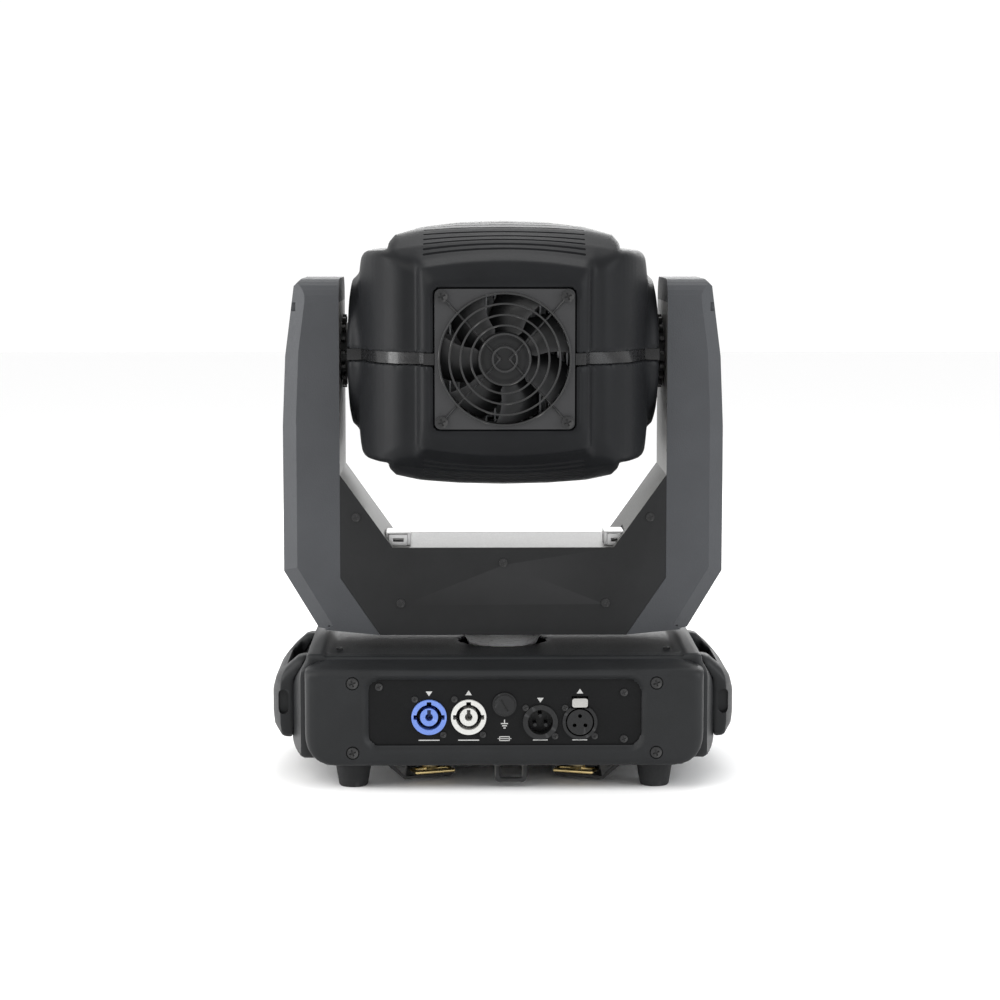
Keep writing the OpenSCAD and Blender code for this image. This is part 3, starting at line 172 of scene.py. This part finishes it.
def finish_of(name, colour, rough, metallic=0.0, grain=(1400, 0.12), mottle=0.12,
              wear_and_highlight=None, wear_and_highlight_amount=0.5, stretch=(1, 1, 1), coat=0.0, specular=0.5):
    """One procedural finish: mottled colour, grain in the bump and roughness, and a lighter tone on raised
    edges, which is edge wear and, on thin wires such as the fan guard's, also a painted highlight.
    """
    n = Nodes(name)
    cloud = n.span(n.noise(38, 4), 0.3, 0.7, 0, 1)
    tint = n.mix(cloud, shade(colour, 1 - mottle), shade(colour, 1 + mottle))
    fine = n.noise(grain[0], 2, stretch)
    tint = n.mix(n.span(fine, 0.35, 0.75, 0, 0.22), tint, shade(colour, 1.35))
    # Raised edges, found by pointiness, take the lighter tone: edge wear, and on thin wires a painted
    # highlight.
    if wear_and_highlight:
        point = n.tree.nodes.new("ShaderNodeNewGeometry").outputs["Pointiness"]
        rub_and_highlight = n.span(point, 0.52, 0.62, 0, wear_and_highlight_amount)
        tint = n.mix(rub_and_highlight, tint, wear_and_highlight)
    n.link(tint, n.shader.inputs["Base Color"])
    n.link(n.span(fine, 0.3, 0.7, rough - 0.06, rough + 0.07), n.shader.inputs["Roughness"])
    n.shader.inputs["Metallic"].default_value = metallic
    n.shader.inputs["Coat Weight"].default_value = coat
    n.shader.inputs["Specular IOR Level"].default_value = specular
    n.bump(fine, grain[1], 0.0004)
    return n.material


def glass_of(name, colour, rough, alpha):
    n = Nodes(name)
    dust = n.span(n.noise(60, 5), 0.45, 0.8, rough, rough + 0.12)
    n.link(dust, n.shader.inputs["Roughness"])
    n.link(n.mix(n.noise(12), shade(colour, 0.9), shade(colour, 1.1)), n.shader.inputs["Base Color"])
    n.shader.inputs["Alpha"].default_value = alpha
    n.shader.inputs["Coat Weight"].default_value = 1.0
    n.shader.inputs["Coat Roughness"].default_value = 0.03
    n.shader.inputs["IOR"].default_value = 1.5
    n.material.blend_method = "BLEND"
    return n.material


def finishes():
    black = (0.02, 0.0202, 0.0205)
    f = {}
    f["charcoal_plastic"] = finish_of("charcoal_plastic", (0.011, 0.0117, 0.0125), 0.46, grain=(1600, 0.16),
                                      wear_and_highlight=(0.045, 0.047, 0.05), wear_and_highlight_amount=0.3, specular=0.2)
    f["head_plastic"] = finish_of("head_plastic", (0.0075, 0.0079, 0.0088), 0.42, grain=(1500, 0.1),
                                  wear_and_highlight=(0.03, 0.0315, 0.034), wear_and_highlight_amount=0.25, specular=0.1)
    f["arm_plastic"] = finish_of("arm_plastic", (0.03, 0.0315, 0.035), 0.52, grain=(900, 0.3),
                                 wear_and_highlight=(0.08, 0.084, 0.09), wear_and_highlight_amount=0.3, specular=0.25)
    f["cover_plastic"] = finish_of("cover_plastic", (0.011, 0.0113, 0.0118), 0.45, grain=(1300, 0.14),
                                   wear_and_highlight=(0.04, 0.04, 0.042), wear_and_highlight_amount=0.25, specular=0.18)
    f["black_plastic"] = finish_of("black_plastic", (0.008, 0.0082, 0.0086), 0.38,
                                   wear_and_highlight=(0.05, 0.05, 0.052), specular=0.25)
    f["gloss_black"] = finish_of("gloss_black", (0.005, 0.005, 0.0055), 0.26, grain=(400, 0.04), coat=0.15,
                                 specular=0.3)
    f["blue_plastic"] = finish_of("blue_plastic", (0.1, 0.18, 0.5), 0.32, grain=(900, 0.06), mottle=0.06,
                                  wear_and_highlight=(0.3, 0.4, 0.75), wear_and_highlight_amount=0.35)
    f["white_plastic"] = finish_of("white_plastic", (0.5, 0.5, 0.48), 0.34, grain=(900, 0.06), mottle=0.04)
    f["button_plastic"] = finish_of("button_plastic", (0.1, 0.1, 0.105), 0.45, wear_and_highlight=(0.25, 0.25, 0.25))
    # black_steel's strong edge tone is edge wear, and it also paints a highlight onto the thin fan-guard
    # wires.
    f["black_steel"] = finish_of("black_steel", black, 0.4, grain=(700, 0.2), wear_and_highlight=(0.2, 0.195, 0.19),
                                 specular=0.25)
    f["panel_steel"] = finish_of("panel_steel", (0.0045, 0.0047, 0.005), 0.46, grain=(1100, 0.2),
                                 specular=0.12)
    f["chassis_steel"] = finish_of("chassis_steel", (0.05, 0.05, 0.052), 0.42, grain=(800, 0.2),
                                   wear_and_highlight=(0.3, 0.3, 0.3))
    f["grey_sheet"] = finish_of("grey_sheet", (0.16, 0.16, 0.152), 0.42, grain=(900, 0.12), mottle=0.05,
                                wear_and_highlight=(0.5, 0.5, 0.49))
    f["nickel"] = finish_of("nickel", (0.4, 0.395, 0.38), 0.34, 1, grain=(500, 0.1), stretch=(1, 8, 8))
    # Low metallic leaves a near-white diffuse tone. This is the metal's pale colour, made to stand in as a
    # painted reflection that brightens the pan hub in the shade under the yoke.
    f["polished_aluminium"] = finish_of("polished_aluminium", (0.95, 0.95, 0.94), 0.3, 0.25,
                                        grain=(220, 0.05), stretch=(1, 1, 14))
    f["aluminium"] = finish_of("aluminium", (0.42, 0.42, 0.42), 0.36, 1, grain=(260, 0.12),
                               stretch=(1, 12, 12))
    f["bearing_steel"] = finish_of("bearing_steel", (0.5, 0.5, 0.51), 0.24, 1, grain=(240, 0.06),
                                   stretch=(12, 1, 1))
    f["yellow_zinc"] = finish_of("yellow_zinc", (0.62, 0.48, 0.22), 0.3, 1, grain=(300, 0.1), mottle=0.3,
                                 wear_and_highlight=(0.8, 0.75, 0.6))
    f["screw_black"] = finish_of("screw_black", (0.011, 0.011, 0.0115), 0.36, 0.0, grain=(700, 0.12),
                                 wear_and_highlight=(0.07, 0.069, 0.068), wear_and_highlight_amount=0.35, specular=0.3)
    f["rubber"] = finish_of("rubber", (0.014, 0.0144, 0.015), 0.72, grain=(600, 0.3),
                            wear_and_highlight=(0.05, 0.05, 0.05), specular=0.25)
    f["belt_rubber"] = finish_of("belt_rubber", (0.012, 0.012, 0.012), 0.6, grain=(500, 0.3))
    f["motor_black"] = finish_of("motor_black", (0.025, 0.025, 0.027), 0.36, 0.3, wear_and_highlight=(0.4, 0.4, 0.4))
    f["circuit_board"] = finish_of("circuit_board", (0.012, 0.12, 0.055), 0.3, grain=(300, 0.2), mottle=0.3)
    f["zinc_case"] = finish_of("zinc_case", (0.5, 0.51, 0.52), 0.36, 1, grain=(60, 0.05), mottle=0.2)
    f["heatsink_alu"] = finish_of("heatsink_alu", (0.2, 0.205, 0.21), 0.34, 1, grain=(240, 0.08),
                                  stretch=(1, 14, 1))
    f["copper_reflector"] = finish_of("copper_reflector", (0.75, 0.68, 0.56), 0.14, 1, grain=(200, 0.03))
    f["wheel_alu"] = finish_of("wheel_alu", (0.32, 0.33, 0.35), 0.3, 1, grain=(240, 0.06))
    f["display_glass"] = glass_of("display_glass", (0.012, 0.02, 0.03), 0.06, 0.96)
    f["lens_glass"] = glass_of("lens_glass", (0.6, 0.7, 0.76), 0.02, 0.32)
    f["print_white"] = finish_of("print_white", (0.42, 0.42, 0.41), 0.5, grain=(900, 0.1), mottle=0.15)
    return f


FINISH = finishes()
SLOT = {row["node"]: row["material_slot"] for row in frame["record"]["subparts"]}


def dress(piece, finish):
    piece.data.materials.clear()
    piece.data.materials.append(FINISH[finish])


# ---------------------------------------------------------------- moulded shapes from distance fields

def outline_distance(u, v, outline):
    """Signed distance from points (u, v) to a closed outline; negative inside."""
    best, sign = np.inf, 1.0
    count = len(outline)
    for i in range(count):
        (ax, ay), (bx, by) = outline[i], outline[i - 1]
        ex, ey, wx, wy = bx - ax, by - ay, u - ax, v - ay
        t = np.clip((wx * ex + wy * ey) / max(ex * ex + ey * ey, 1e-9), 0, 1)
        best = np.minimum(best, (wx - ex * t) ** 2 + (wy - ey * t) ** 2)
        above, below, side = v >= ay, v < by, ex * wy > ey * wx
        sign = np.where((above & below & side) | ~(above | below | side), -sign, sign)
    return sign * np.sqrt(best)


def both(a, b, k=0.0):
    """Where both shapes are, with the edge between them rounded over about k."""
    if k <= 0:
        return np.maximum(a, b)
    h = np.maximum(k - np.abs(a - b), 0) / k
    return np.maximum(a, b) + h * h * k / 4


def either(a, b, k=0.0):
    return -both(-a, -b, k)


def without(a, b, k=0.0):
    return both(a, -b, k)


def round_box(u, v, half_u, half_v, r):
    """Signed distance to a rounded rectangle about the origin."""
    qu, qv = np.abs(u) - half_u + r, np.abs(v) - half_v + r
    return np.hypot(np.maximum(qu, 0), np.maximum(qv, 0)) + np.minimum(np.maximum(qu, qv), 0) - r


def surface_of(field, low, high, step):
    """Vertices and quads of field's zero surface, by surface nets, pulled onto the exact surface."""
    axes = [np.arange(a, b + step, step) for a, b in zip(low, high)]
    grid = field(axes[0][:, None, None], axes[1][None, :, None], axes[2][None, None, :])
    inside = grid < 0
    cells = tuple(n - 1 for n in grid.shape)
    total, hits = np.zeros(cells + (3,)), np.zeros(cells)
    corners = [(i, j, k) for i in (0, 1) for j in (0, 1) for k in (0, 1)]
    for a in corners:
        for axis in range(3):
            if a[axis]:
                continue
            b = tuple(c + (n == axis) for n, c in enumerate(a))
            fa = grid[tuple(slice(c, c + n) for c, n in zip(a, cells))]
            fb = grid[tuple(slice(c, c + n) for c, n in zip(b, cells))]
            cross = (fa < 0) != (fb < 0)
            t = np.where(cross, fa / np.where(cross, fa - fb, 1), 0)
            for n in range(3):
                total[..., n] += np.where(cross, a[n] + (t if n == axis else 0), 0)
            hits += cross
    where = hits > 0
    index = -np.ones(cells, int)
    index[where] = np.arange(int(where.sum()))
    place = np.argwhere(where) + total[where] / hits[where][:, None]
    points = np.array(low) + place * step
    quads = []
    for axis in range(3):
        u, v = [n for n in range(3) if n != axis]
        if axis == 1:
            u, v = v, u
        front = [slice(None)] * 3
        back = [slice(None)] * 3
        front[axis], back[axis] = slice(0, -1), slice(1, None)
        for n in (u, v):
            front[n] = back[n] = slice(1, -1)
        change = inside[tuple(front)] != inside[tuple(back)]
        spots = np.argwhere(change)
        flip = inside[tuple(front)][change]
        spots[:, u] += 1
        spots[:, v] += 1
        ring = []
        for du, dv in ((0, 0), (1, 0), (1, 1), (0, 1)):
            cell = spots.copy()
            cell[:, u] -= du
            cell[:, v] -= dv
            ring.append(index[cell[:, 0], cell[:, 1], cell[:, 2]])
        faces = np.stack(ring, 1)
        faces[~flip] = faces[~flip][:, ::-1]
        quads.append(faces)
    for _ in range(2):
        x, y, z = points.T
        value, e = field(x, y, z), 0.4
        slope = np.stack([field(x + e, y, z) - field(x - e, y, z), field(x, y + e, z) - field(x, y - e, z),
                          field(x, y, z + e) - field(x, y, z - e)], 1) / (2 * e)
        steep = (slope ** 2).sum(1)
        move = -slope * np.where((steep > 0.6) & (steep < 1.6), value, 0)[:, None]
        points += np.clip(move, -step / 2, step / 2)
    return points, np.concatenate(quads)


def mesh_piece(name, points, faces, offset=(0, 0, 0), smooth_angle=40):
    mesh = bpy.data.meshes.new(name)
    mesh.from_pydata([tuple((Vector(p) + Vector(offset)) * MM) for p in points], [],
                     [tuple(int(i) for i in f) for f in faces])
    mesh.validate()
    mesh.polygons.foreach_set("use_smooth", [True] * len(mesh.polygons))
    mesh.set_sharp_from_angle(angle=math.radians(smooth_angle))
    piece = bpy.data.objects.new(name, mesh)
    bpy.context.scene.collection.objects.link(piece)
    return piece


def settle(piece):
    """Applies the piece's modifiers."""
    seen = piece.evaluated_get(bpy.context.evaluated_depsgraph_get())
    mesh = bpy.data.meshes.new_from_object(seen)
    piece.modifiers.clear()
    piece.data = mesh


def cut(piece, cutters):
    """Takes the cutters out of the piece, then removes them."""
    for cutter in cutters:
        boolean = piece.modifiers.new("cut", "BOOLEAN")
        boolean.operation = "DIFFERENCE"
        boolean.object = cutter
        boolean.solver = "EXACT"
    settle(piece)
    for cutter in cutters:
        bpy.data.objects.remove(cutter)
    piece.data.polygons.foreach_set("use_smooth", [True] * len(piece.data.polygons))
    piece.data.set_sharp_from_angle(angle=math.radians(CUT_SHARP_ANGLE))


def prism(name, outline, axis, low, high):
    """A straight extrusion of an outline along X, Y or Z, in millimetres."""
    orders = {
        "x": lambda u, v, w: (w, u, v),
        "y": lambda u, v, w: (u, w, v),
        "z": lambda u, v, w: (u, v, w),
    }
    order = orders[axis]
    n = len(outline)
    points = [order(u, v, w) for w in (low, high) for u, v in outline]
    faces = [list(range(n))[::-1], [n + i for i in range(n)]]
    faces += [[i, (i + 1) % n, n + (i + 1) % n, n + i] for i in range(n)]
    if axis == "y":
        faces = [f[::-1] for f in faces]
    return mesh_piece(name, points, faces)


def circle(u, v, r, count=48):
    return [(u + r * math.cos(2 * math.pi * i / count), v + r * math.sin(2 * math.pi * i / count))
            for i in range(count)]


def stadium(u, v, half_u, half_v, count=10):
    """A slot outline, round at the ends of its longer side."""
    r = min(half_u, half_v)
    du, dv = half_u - r, half_v - r
    turn = 0 if du else math.pi / 2
    out = []
    for i in range(2 * count + 2):
        a = turn - math.pi / 2 + math.pi * (i if i <= count else i - 1) / count
        s = 1 if i <= count else -1
        out.append((u + s * du + r * math.cos(a), v + s * dv + r * math.sin(a)))
    return out


def arc(cx, cy, r, a0, a1, count=6):
    return [(cx + r * math.cos(math.radians(a0 + (a1 - a0) * i / count)),
             cy + r * math.sin(math.radians(a0 + (a1 - a0) * i / count))) for i in range(count + 1)]


def soften(outline, rounds=2):
    """The outline with its corners cut again and again, so that it reads as a curve."""
    for _ in range(rounds):
        pairs = list(zip(outline, outline[1:] + outline[:1]))
        outline = [(a[0] * (1 - t) + b[0] * t, a[1] * (1 - t) + b[1] * t)
                   for a, b in pairs for t in (0.25, 0.75)]
    return outline


# ---------------------------------------------------------------- the head's shells

HEAD_W = 108.0            # half width, mm
HEAD_H = 91.0             # half height
HEAD_WALL = 4.4
BAND = 4.0                # half height of the band between the shells
FAN_WINDOW = 46.4         # half width of the window round the fan
LENS_WINDOW_R = 56.3
TRUNNION_HOLE_R = 20.8
VENT_ROWS = (-100, -95.5, -90.5, -84.5, -77.5, -69, -58, -45)
VENT_HALF_W = 54
VENT_HALF_H = 0.95


def head_body(x, y, z):
    """The head's closed outside, about its tilt axis."""
    ax, ah = np.abs(x), np.abs(z)
    quarter = [(0, -5), (HEAD_W, -5), (HEAD_W, 16), (106.8, 36), (105, 50), (102, 54.5),
               *arc(90, 61, 9.5, 10, 80, 3), (78, 71.5), (77, 76), (73, 81), (56, 86), (30, 89.6),
               (0, HEAD_H), (-40, HEAD_H), (-40, -5)]
    section = outline_distance(ax, ah, quarter)
    side = outline_distance(y, ah + 0.0016 * x * x * np.clip((-y - 60) / 45, 0, 1), [
        (-121, -5), (-121, 44), (-119.5, 54), (-113, 64), (-104, 69.5), (-92, 77.5), (-70, 86), (-40, 92),
        (-8, 94), (25, 93), (55, 85.5), (82, 73), (100, 62), (113, 58), (113, -5)])
    plan = outline_distance(ax, y, soften([
        (-20, -121), (30, -121), (47.5, -121), (49, -120.4), (54.5, -116.5), (56, -114), (57.5, -108),
        (59, -106), (72, -101), (85, -87), (94, -66), (99.5, -48), (99.5, 48), (94, 70), (82, 92),
        (68, 107), (60, 113), (-20, 113)]))
    nose = outline_distance(np.hypot(x, z), y, [
        (-20, -140), (150, -140), (150, 30), (124, 62), (88, 92), (62, 113), (-20, 113)])
    reach = np.hypot(y, z)
    caps = both(reach - 53, ax - HEAD_W, 3)
    sweep = outline_distance(reach, ax, [
        (-20, -5), (132, -5), (132, 57), (121.5, 61), (121, 80), (118, 84), (98, 100), (85, 109),
        (-20, 109)])
    body = either(both(plan, nose, 8), caps, 10)
    return both(both(both(body, side, 5), section, 7), sweep, 4)


def head_shell(name, node, up):
    def field(x, y, z):
        body = head_body(x, y, z)
        wall = without(body, body + HEAD_WALL)
        wall = both(wall, BAND - up * z, 0.8)
        window = both(round_box(x, z, FAN_WINDOW, FAN_WINDOW, 3), y + 83)
        wall = without(wall, window, 0.8)
        wall = without(wall, both(np.hypot(x, z) - LENS_WINDOW_R, 100 - y), 0.6)
        return without(wall, both(np.hypot(y, z) - TRUNNION_HOLE_R, 90 - np.abs(x)), 0.5)
    low, high = (-110, -124, 2.2), (110, 116, 94)
    if up < 0:
        low, high = (-110, -124, -94), (110, 116, -2.2)
    points, faces = surface_of(field, low, high, 2.0)
    piece = mesh_piece(name, points, faces, (0, 0, TILT_Z))
    z0, z1 = (TILT_Z + 60, TILT_Z + 100) if up > 0 else (TILT_Z - 100, TILT_Z - 60)
    slots = [prism("slot", stadium(0, y, VENT_HALF_W, VENT_HALF_H), "z", z0, z1) for y in VENT_ROWS]
    cut(piece, slots)
    dress(piece, "head_plastic")
    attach(piece, "head")
    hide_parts(node)


# ---------------------------------------------------------------- the base's mouldings

BASE_HALF_W = 146.0
BASE_END = 92             # where the end bezels begin
BASE_WALL = 4
LIP_TOP, LIP_IN = 22, 116           # the lip turned in under each side
POCKET_IN, POCKET_WALL = 124, 3     # the finger pocket behind each handle
ROOF_UNDER = 83
DECK_FLOOR, DECK_HALF_W, DECK_HALF_L = 86, 119, 75
PAN_HOLE_R = 31
WINDOW_Z = 53             # height of the middle of each end window
BEZEL_SCREW_X = 101.5
BEZEL_SCREW_Z = (26.5, 73.5)


def base_plan(x, y):
    return outline_distance(np.abs(x), y, [
        (-30, -92.5), (137, -92.5), (BASE_HALF_W, -52), (BASE_HALF_W, 52), (137, 92.5), (-30, 92.5)])


def base_section(x, z, closed=True):
    low = [(-30, 19), *arc(138, 27, 8, -90, 0)] if closed else [(-30, -30), (BASE_HALF_W, -30)]
    return outline_distance(np.abs(x), z, low + [
        (BASE_HALF_W, 64), (134, 84), (133, 90), (122, 90), (121, 88.5), (-30, 88.5)])


def housing():
    def field(x, y, z):
        body = both(base_plan(x, y), base_section(x, z), 2.5)
        inner = both(base_plan(x, y), base_section(x, z, closed=False)) + BASE_WALL
        inner = without(inner, both(z - LIP_TOP, LIP_IN - np.abs(x)))
        pocket = both(round_box(y, z - 61.5, 42, 21.5, 5), POCKET_IN - np.abs(x))
        inner = both(without(inner, pocket - POCKET_WALL), z - ROOF_UNDER)
        shell = without(without(body, inner), pocket, 1.5)
        deck = both(round_box(x, y, DECK_HALF_W, DECK_HALF_L, 8), DECK_FLOOR - z)
        shell = without(shell, deck, 0.8)
        shell = without(shell, np.hypot(x, y) - PAN_HOLE_R, 0.8)
        return both(shell, np.abs(y) - BASE_END, 0.4)
    points, faces = surface_of(field, (-148, -94, 17), (148, 94, 92.4), 2.0)
    piece = mesh_piece("housing_moulding", points, faces)
    dress(piece, "charcoal_plastic")
    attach(piece, "base")
    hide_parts("base_housing")


def bezel_field(x, y, z, floor):
    """An end bezel, drawn at the -Y end. floor is True where its window has a floor."""
    section = outline_distance(np.abs(x), z, [
        (-30, 17), *arc(113, 39, 22, -90, 0), (135, 81.5), (119, 88.5), (-30, 88.5)])
    plan = outline_distance(np.abs(x), y, [
        (-30, -112), *arc(124, -100, 12, -90, -20), (136, -80), (-30, -80)])
    side = outline_distance(y, z, [
        (-112, 10), (-80, 10), (-80, 88.5), (-92, 88.5), (-109, 82.1), (-112, 78.5)])
    body = both(both(section, plan, 6), side, 5)
    inner = both(body + 3, -106 - y)
    flare = np.clip((-107.5 - y) * 1.2, 0, 5)
    window = round_box(x, z - WINDOW_Z, 91, 22, 8) - flare
    bezel = without(body, inner)
    if floor:
        sill = both(round_box(x, z - WINDOW_Z, 92, 23, 8), np.abs(y + 105) - 1)
        bezel = either(without(bezel, both(window, y + 106), 1.2), sill)
    else:
        bezel = without(bezel, window, 1.2)
    notch = both(both(np.abs(x) - 120.2, -106 - y), z - 19)
    return both(without(bezel, notch), y + BASE_END, 0.4)


def bezel(name, node, mirror):
    def field(x, y, z):
        return bezel_field(x, y, z, mirror)
    points, faces = surface_of(field, (-137, -114, 15), (137, -90, 91), 1.7)
    if mirror:
        points = points * np.array([1, -1, 1])
        faces = faces[:, ::-1]
    piece = mesh_piece(name, points, faces)
    s = -1 if mirror else 1
    cutters = []
    for x in (-BEZEL_SCREW_X, BEZEL_SCREW_X):
        for z in BEZEL_SCREW_Z:
            cutters.append(prism("bore", circle(x, z, 4.5), "y", *sorted((-113 * s, -109 * s))))
    if mirror:
        lo, hi = sorted((-113 * s, -100 * s))
        cutters.append(prism("bore", [(-70, 37), (14, 37), (14, 69), (-70, 69)], "y", lo, hi))
        cutters += [prism("bore", circle(x, WINDOW_Z, 4.85), "y", lo, hi) for x in (34, 50, 66, 82)]
    cut(piece, cutters)
    dress(piece, "charcoal_plastic")
    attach(piece, "base")
    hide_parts(node)


def handle(name, node, side):
    def field(x, y, z):
        u = side * x
        plan = outline_distance(u, np.abs(y), [
            (125, -30), (162, -30), (162, 34), (160, 46), (153, 62), (125, 62)])
        section = outline_distance(u, z, [
            (125, 27), (153, 27), (160, 34), (162, 42), (162, 58), (158, 67), (150, 75), (141, 83),
            (137, 84), (125, 84)])
        body = both(plan, section, 9)
        gap = outline_distance(u, np.abs(y), [
            (90, -30), (149.5, -30), (149.5, 34), (143.5, 42), (90, 42)])
        body = without(body, gap, 4)
        house = both(base_plan(x, y), base_section(x, z))
        return without(body, house)
    low, high = (134, -64, 25), (164, 64, 86)
    if side < 0:
        low, high = (-164, -64, 25), (-134, 64, 86)
    points, faces = surface_of(field, low, high, 1.5)
    piece = mesh_piece(name, points, faces)
    recess = stadium(151 * side, 52.5, 3.5, 8.5)
    cut(piece, [prism("recess", recess, "y", -65, -56.5), prism("recess", recess, "y", 56.5, 65)])
    dress(piece, "charcoal_plastic")
    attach(piece, "base")
    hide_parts(node)


# ---------------------------------------------------------------- fan rotor with swept blades

BLADES = 7


def fan_rotor():
    rear, hub_r, tip_r, depth = -119.7, 18.0, 42.4, 17.0
    points, faces = [], []

    def ring_wall(profile, count=72):
        start = len(points)
        for r, w in profile:
            for i in range(count):
                a = 2 * math.pi * i / count
                points.append((r * math.cos(a), rear + w, TILT_Z + r * math.sin(a)))
        for row in range(len(profile) - 1):
            for i in range(count):
                j = (i + 1) % count
                a, b = start + row * count, start + (row + 1) * count
                faces.append((a + i, a + j, b + j, b + i))
        faces.append(tuple(start + i for i in range(count))[::-1])
        faces.append(tuple(start + (len(profile) - 1) * count + i for i in range(count)))

    ring_wall([(11, 2.9), (hub_r - 1.2, 2.9), (hub_r, 4.1), (hub_r, 21), (hub_r - 3, 21)])
    ring_wall([(4, 2.5), (10, 2.5), (10, 3.2), (4, 3.2)])
    radii, chord = 9, 9
    for blade in range(BLADES):
        for skin in (0, 1):
            for i in range(radii):
                r = hub_r - 0.6 + (tip_r - hub_r + 0.6) * i / (radii - 1)
                sweep = 0.24 * max(0.0, (r - hub_r) / (tip_r - hub_r)) ** 1.4
                half = (0.46 if i else 0.4) * 17 / r * 1.15 + (0.13 if i else 0.06)
                for j in range(chord):
                    t = j / (chord - 1)
                    a = 2 * math.pi * blade / BLADES + sweep + half * (2 * t - 1)
                    camber = 1.8 * math.sin(math.pi * t)
                    taper = 1.1 - 0.5 * (r - hub_r) / 25
                    thick = 0.35 + 0.75 * math.sin(math.pi * min(1, 0.15 + t)) * taper
                    w = 4.0 + (depth - 2.5) * (1 - t) - camber + (thick if skin else -thick)
                    points.append((r * math.sin(a), rear + w, TILT_Z + r * math.cos(a)))
        base = len(points) - 2 * radii * chord
        top = base + radii * chord
        for i in range(radii - 1):
            for j in range(chord - 1):
                a, b = i * chord + j, i * chord + j + 1
                c, d = b + chord, a + chord
                faces.append((base + a, base + b, base + c, base + d))
                faces.append((top + d, top + c, top + b, top + a))
        for i in range(radii - 1):
            for j, flip in ((0, False), (chord - 1, True)):
                a = i * chord + j
                quad = (base + a, base + a + chord, top + a + chord, top + a)
                faces.append(quad[::-1] if flip else quad)
        for j in range(chord - 1):
            for i, flip in ((0, True), (radii - 1, False)):
                a = i * chord + j
                quad = (base + a, base + a + 1, top + a + 1, top + a)
                faces.append(quad[::-1] if not flip else quad)
    piece = mesh_piece("rotor_with_blades", points, faces, smooth_angle=50)
    dress(piece, "black_plastic")
    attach(piece, "fan_rotor")
    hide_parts("fan_rotor")


# ---------------------------------------------------------------- printed marks on the connector panel

def printed_marks():
    """Plain pictograms in the places where a real panel has its printing."""
    y0, y1 = -106.12, -105.9
    bars = []

    def bar(x, z, half_w, half_h):
        bars.append([(x - half_w, z - half_h), (x + half_w, z - half_h), (x + half_w, z + half_h),
                     (x - half_w, z + half_h)])

    def arrow(x, z, way):
        bars.append([(x - 2.2, z + 1.3 * way), (x + 2.2, z + 1.3 * way), (x, z - 1.9 * way)][::way])

    arrow(-50.5, 66, 1)
    arrow(-24, 66, -1)
    arrow(24, 61.5, 1)
    arrow(50.5, 67, -1)
    for i, width in enumerate((4.8, 3.2, 1.5)):
        bar(0, 45.4 - 1.5 * i, width / 2, 0.35)
    bar(0, 46.9, 0.35, 1.2)
    for dz in (1.3, -1.3):
        bar(0, 35.2 + dz, 3.2, 0.3)
    for dx in (-3.2, 3.2):
        bar(dx, 35.2, 0.3, 1.6)
    bar(0, 35.2, 4.6, 0.2)
    for x, w in ((-50.5, 7), (-24, 7), (24, 5), (50.5, 5)):
        bar(x, 34.2, w, 0.35)
    points, faces = [], []
    for outline in bars:
        n, start = len(outline), len(points)
        points += [(u, y, v) for y in (y0, y1) for u, v in outline]
        faces += [[start + i for i in range(n)], [start + n + i for i in range(n)][::-1]]
        faces += [[start + (i + 1) % n, start + i, start + n + i, start + n + (i + 1) % n]
                  for i in range(n)]
    piece = mesh_piece("panel_marks", points, faces)
    dress(piece, "print_white")
    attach(piece, "base")


# ---------------------------------------------------------------- the CAD nodes that stay

DEFAULT_BEVEL = 0.3       # mm
BEVEL = {
    "power_inlet": 0.35, "power_outlet": 0.35, "data_latch": 0.5, "base_screws": 0.18,
    "yoke_screws": 0.15, "head_screws": 0.25, "fan_guard": 0, "pan_bearing": 0, "tilt_bearings": 0,
    "pan_motor_pulley": 0, "tilt_motor_pulley": 0, "tilt_pulley": 0, "pan_hub": 0.2, "heatsink": 0.15,
    "safety_eye": 0, "yoke_covers": 0.35, "arm_shell_left": 0.7, "arm_shell_right": 0.7,
    "optic_frame": 0.4, "corner_blocks": 0.5, "omega_brackets": 0.4, "rubber_feet": 0.8,
    "fan_frame": 0.4, "quarter_turn_left_rear": 0, "quarter_turn_left_front": 0,
    "quarter_turn_right_rear": 0, "quarter_turn_right_front": 0, "connector_panel": 0.2,
    "lens_bezel": 0.4, "front_lens": 0,
}

# Nodes of flat sheet and straight walls, shaded flat.
FLAT_SIDED = ("yoke_covers", "arm_shell_left", "arm_shell_right", "yoke_frame", "fan_frame",
              "base_chassis", "connector_panel", "corner_blocks")


def dress_cad():
    for name, node in nodes.items():
        dress(node, "black_steel" if name == "tilt_trunnions" else SLOT[name])
        width = BEVEL.get(name, DEFAULT_BEVEL)
        weld = node.modifiers.new("weld", "WELD")
        weld.merge_threshold = 1e-6
        if name in FLAT_SIDED:
            flat = node.modifiers.new("flat", "DECIMATE")
            flat.decimate_type = "DISSOLVE"
            flat.angle_limit = math.radians(0.4)
        if width:
            bevel_edges = node.modifiers.new("bevel", "BEVEL")
            bevel_edges.width = width * MM
            bevel_edges.segments = 2
            bevel_edges.limit_method = "ANGLE"
            bevel_edges.angle_limit = math.radians(SHARP_ANGLE)
            bevel_edges.use_clamp_overlap = True
            even = node.modifiers.new("even", "WEIGHTED_NORMAL")
            even.keep_sharp = True
            even.weight = 80
        if node.data.has_custom_normals:
            node.data.attributes.remove(node.data.attributes["custom_normal"])
        node.data.polygons.foreach_set("use_smooth", [name not in FLAT_SIDED] * len(node.data.polygons))
        if name not in FLAT_SIDED:
            node.data.set_sharp_from_angle(angle=math.radians(SHARP_ANGLE))


camera()
studio()
dress_cad()
head_shell("upper_shell_moulding", "head_shell_upper", 1)
head_shell("lower_shell_moulding", "head_shell_lower", -1)
housing()
bezel("rear_bezel_moulding", "rear_bezel", False)
bezel("front_bezel_moulding", "front_bezel", True)
handle("left_handle_moulding", "carry_handle_left", -1)
handle("right_handle_moulding", "carry_handle_right", 1)
fan_rotor()
printed_marks()
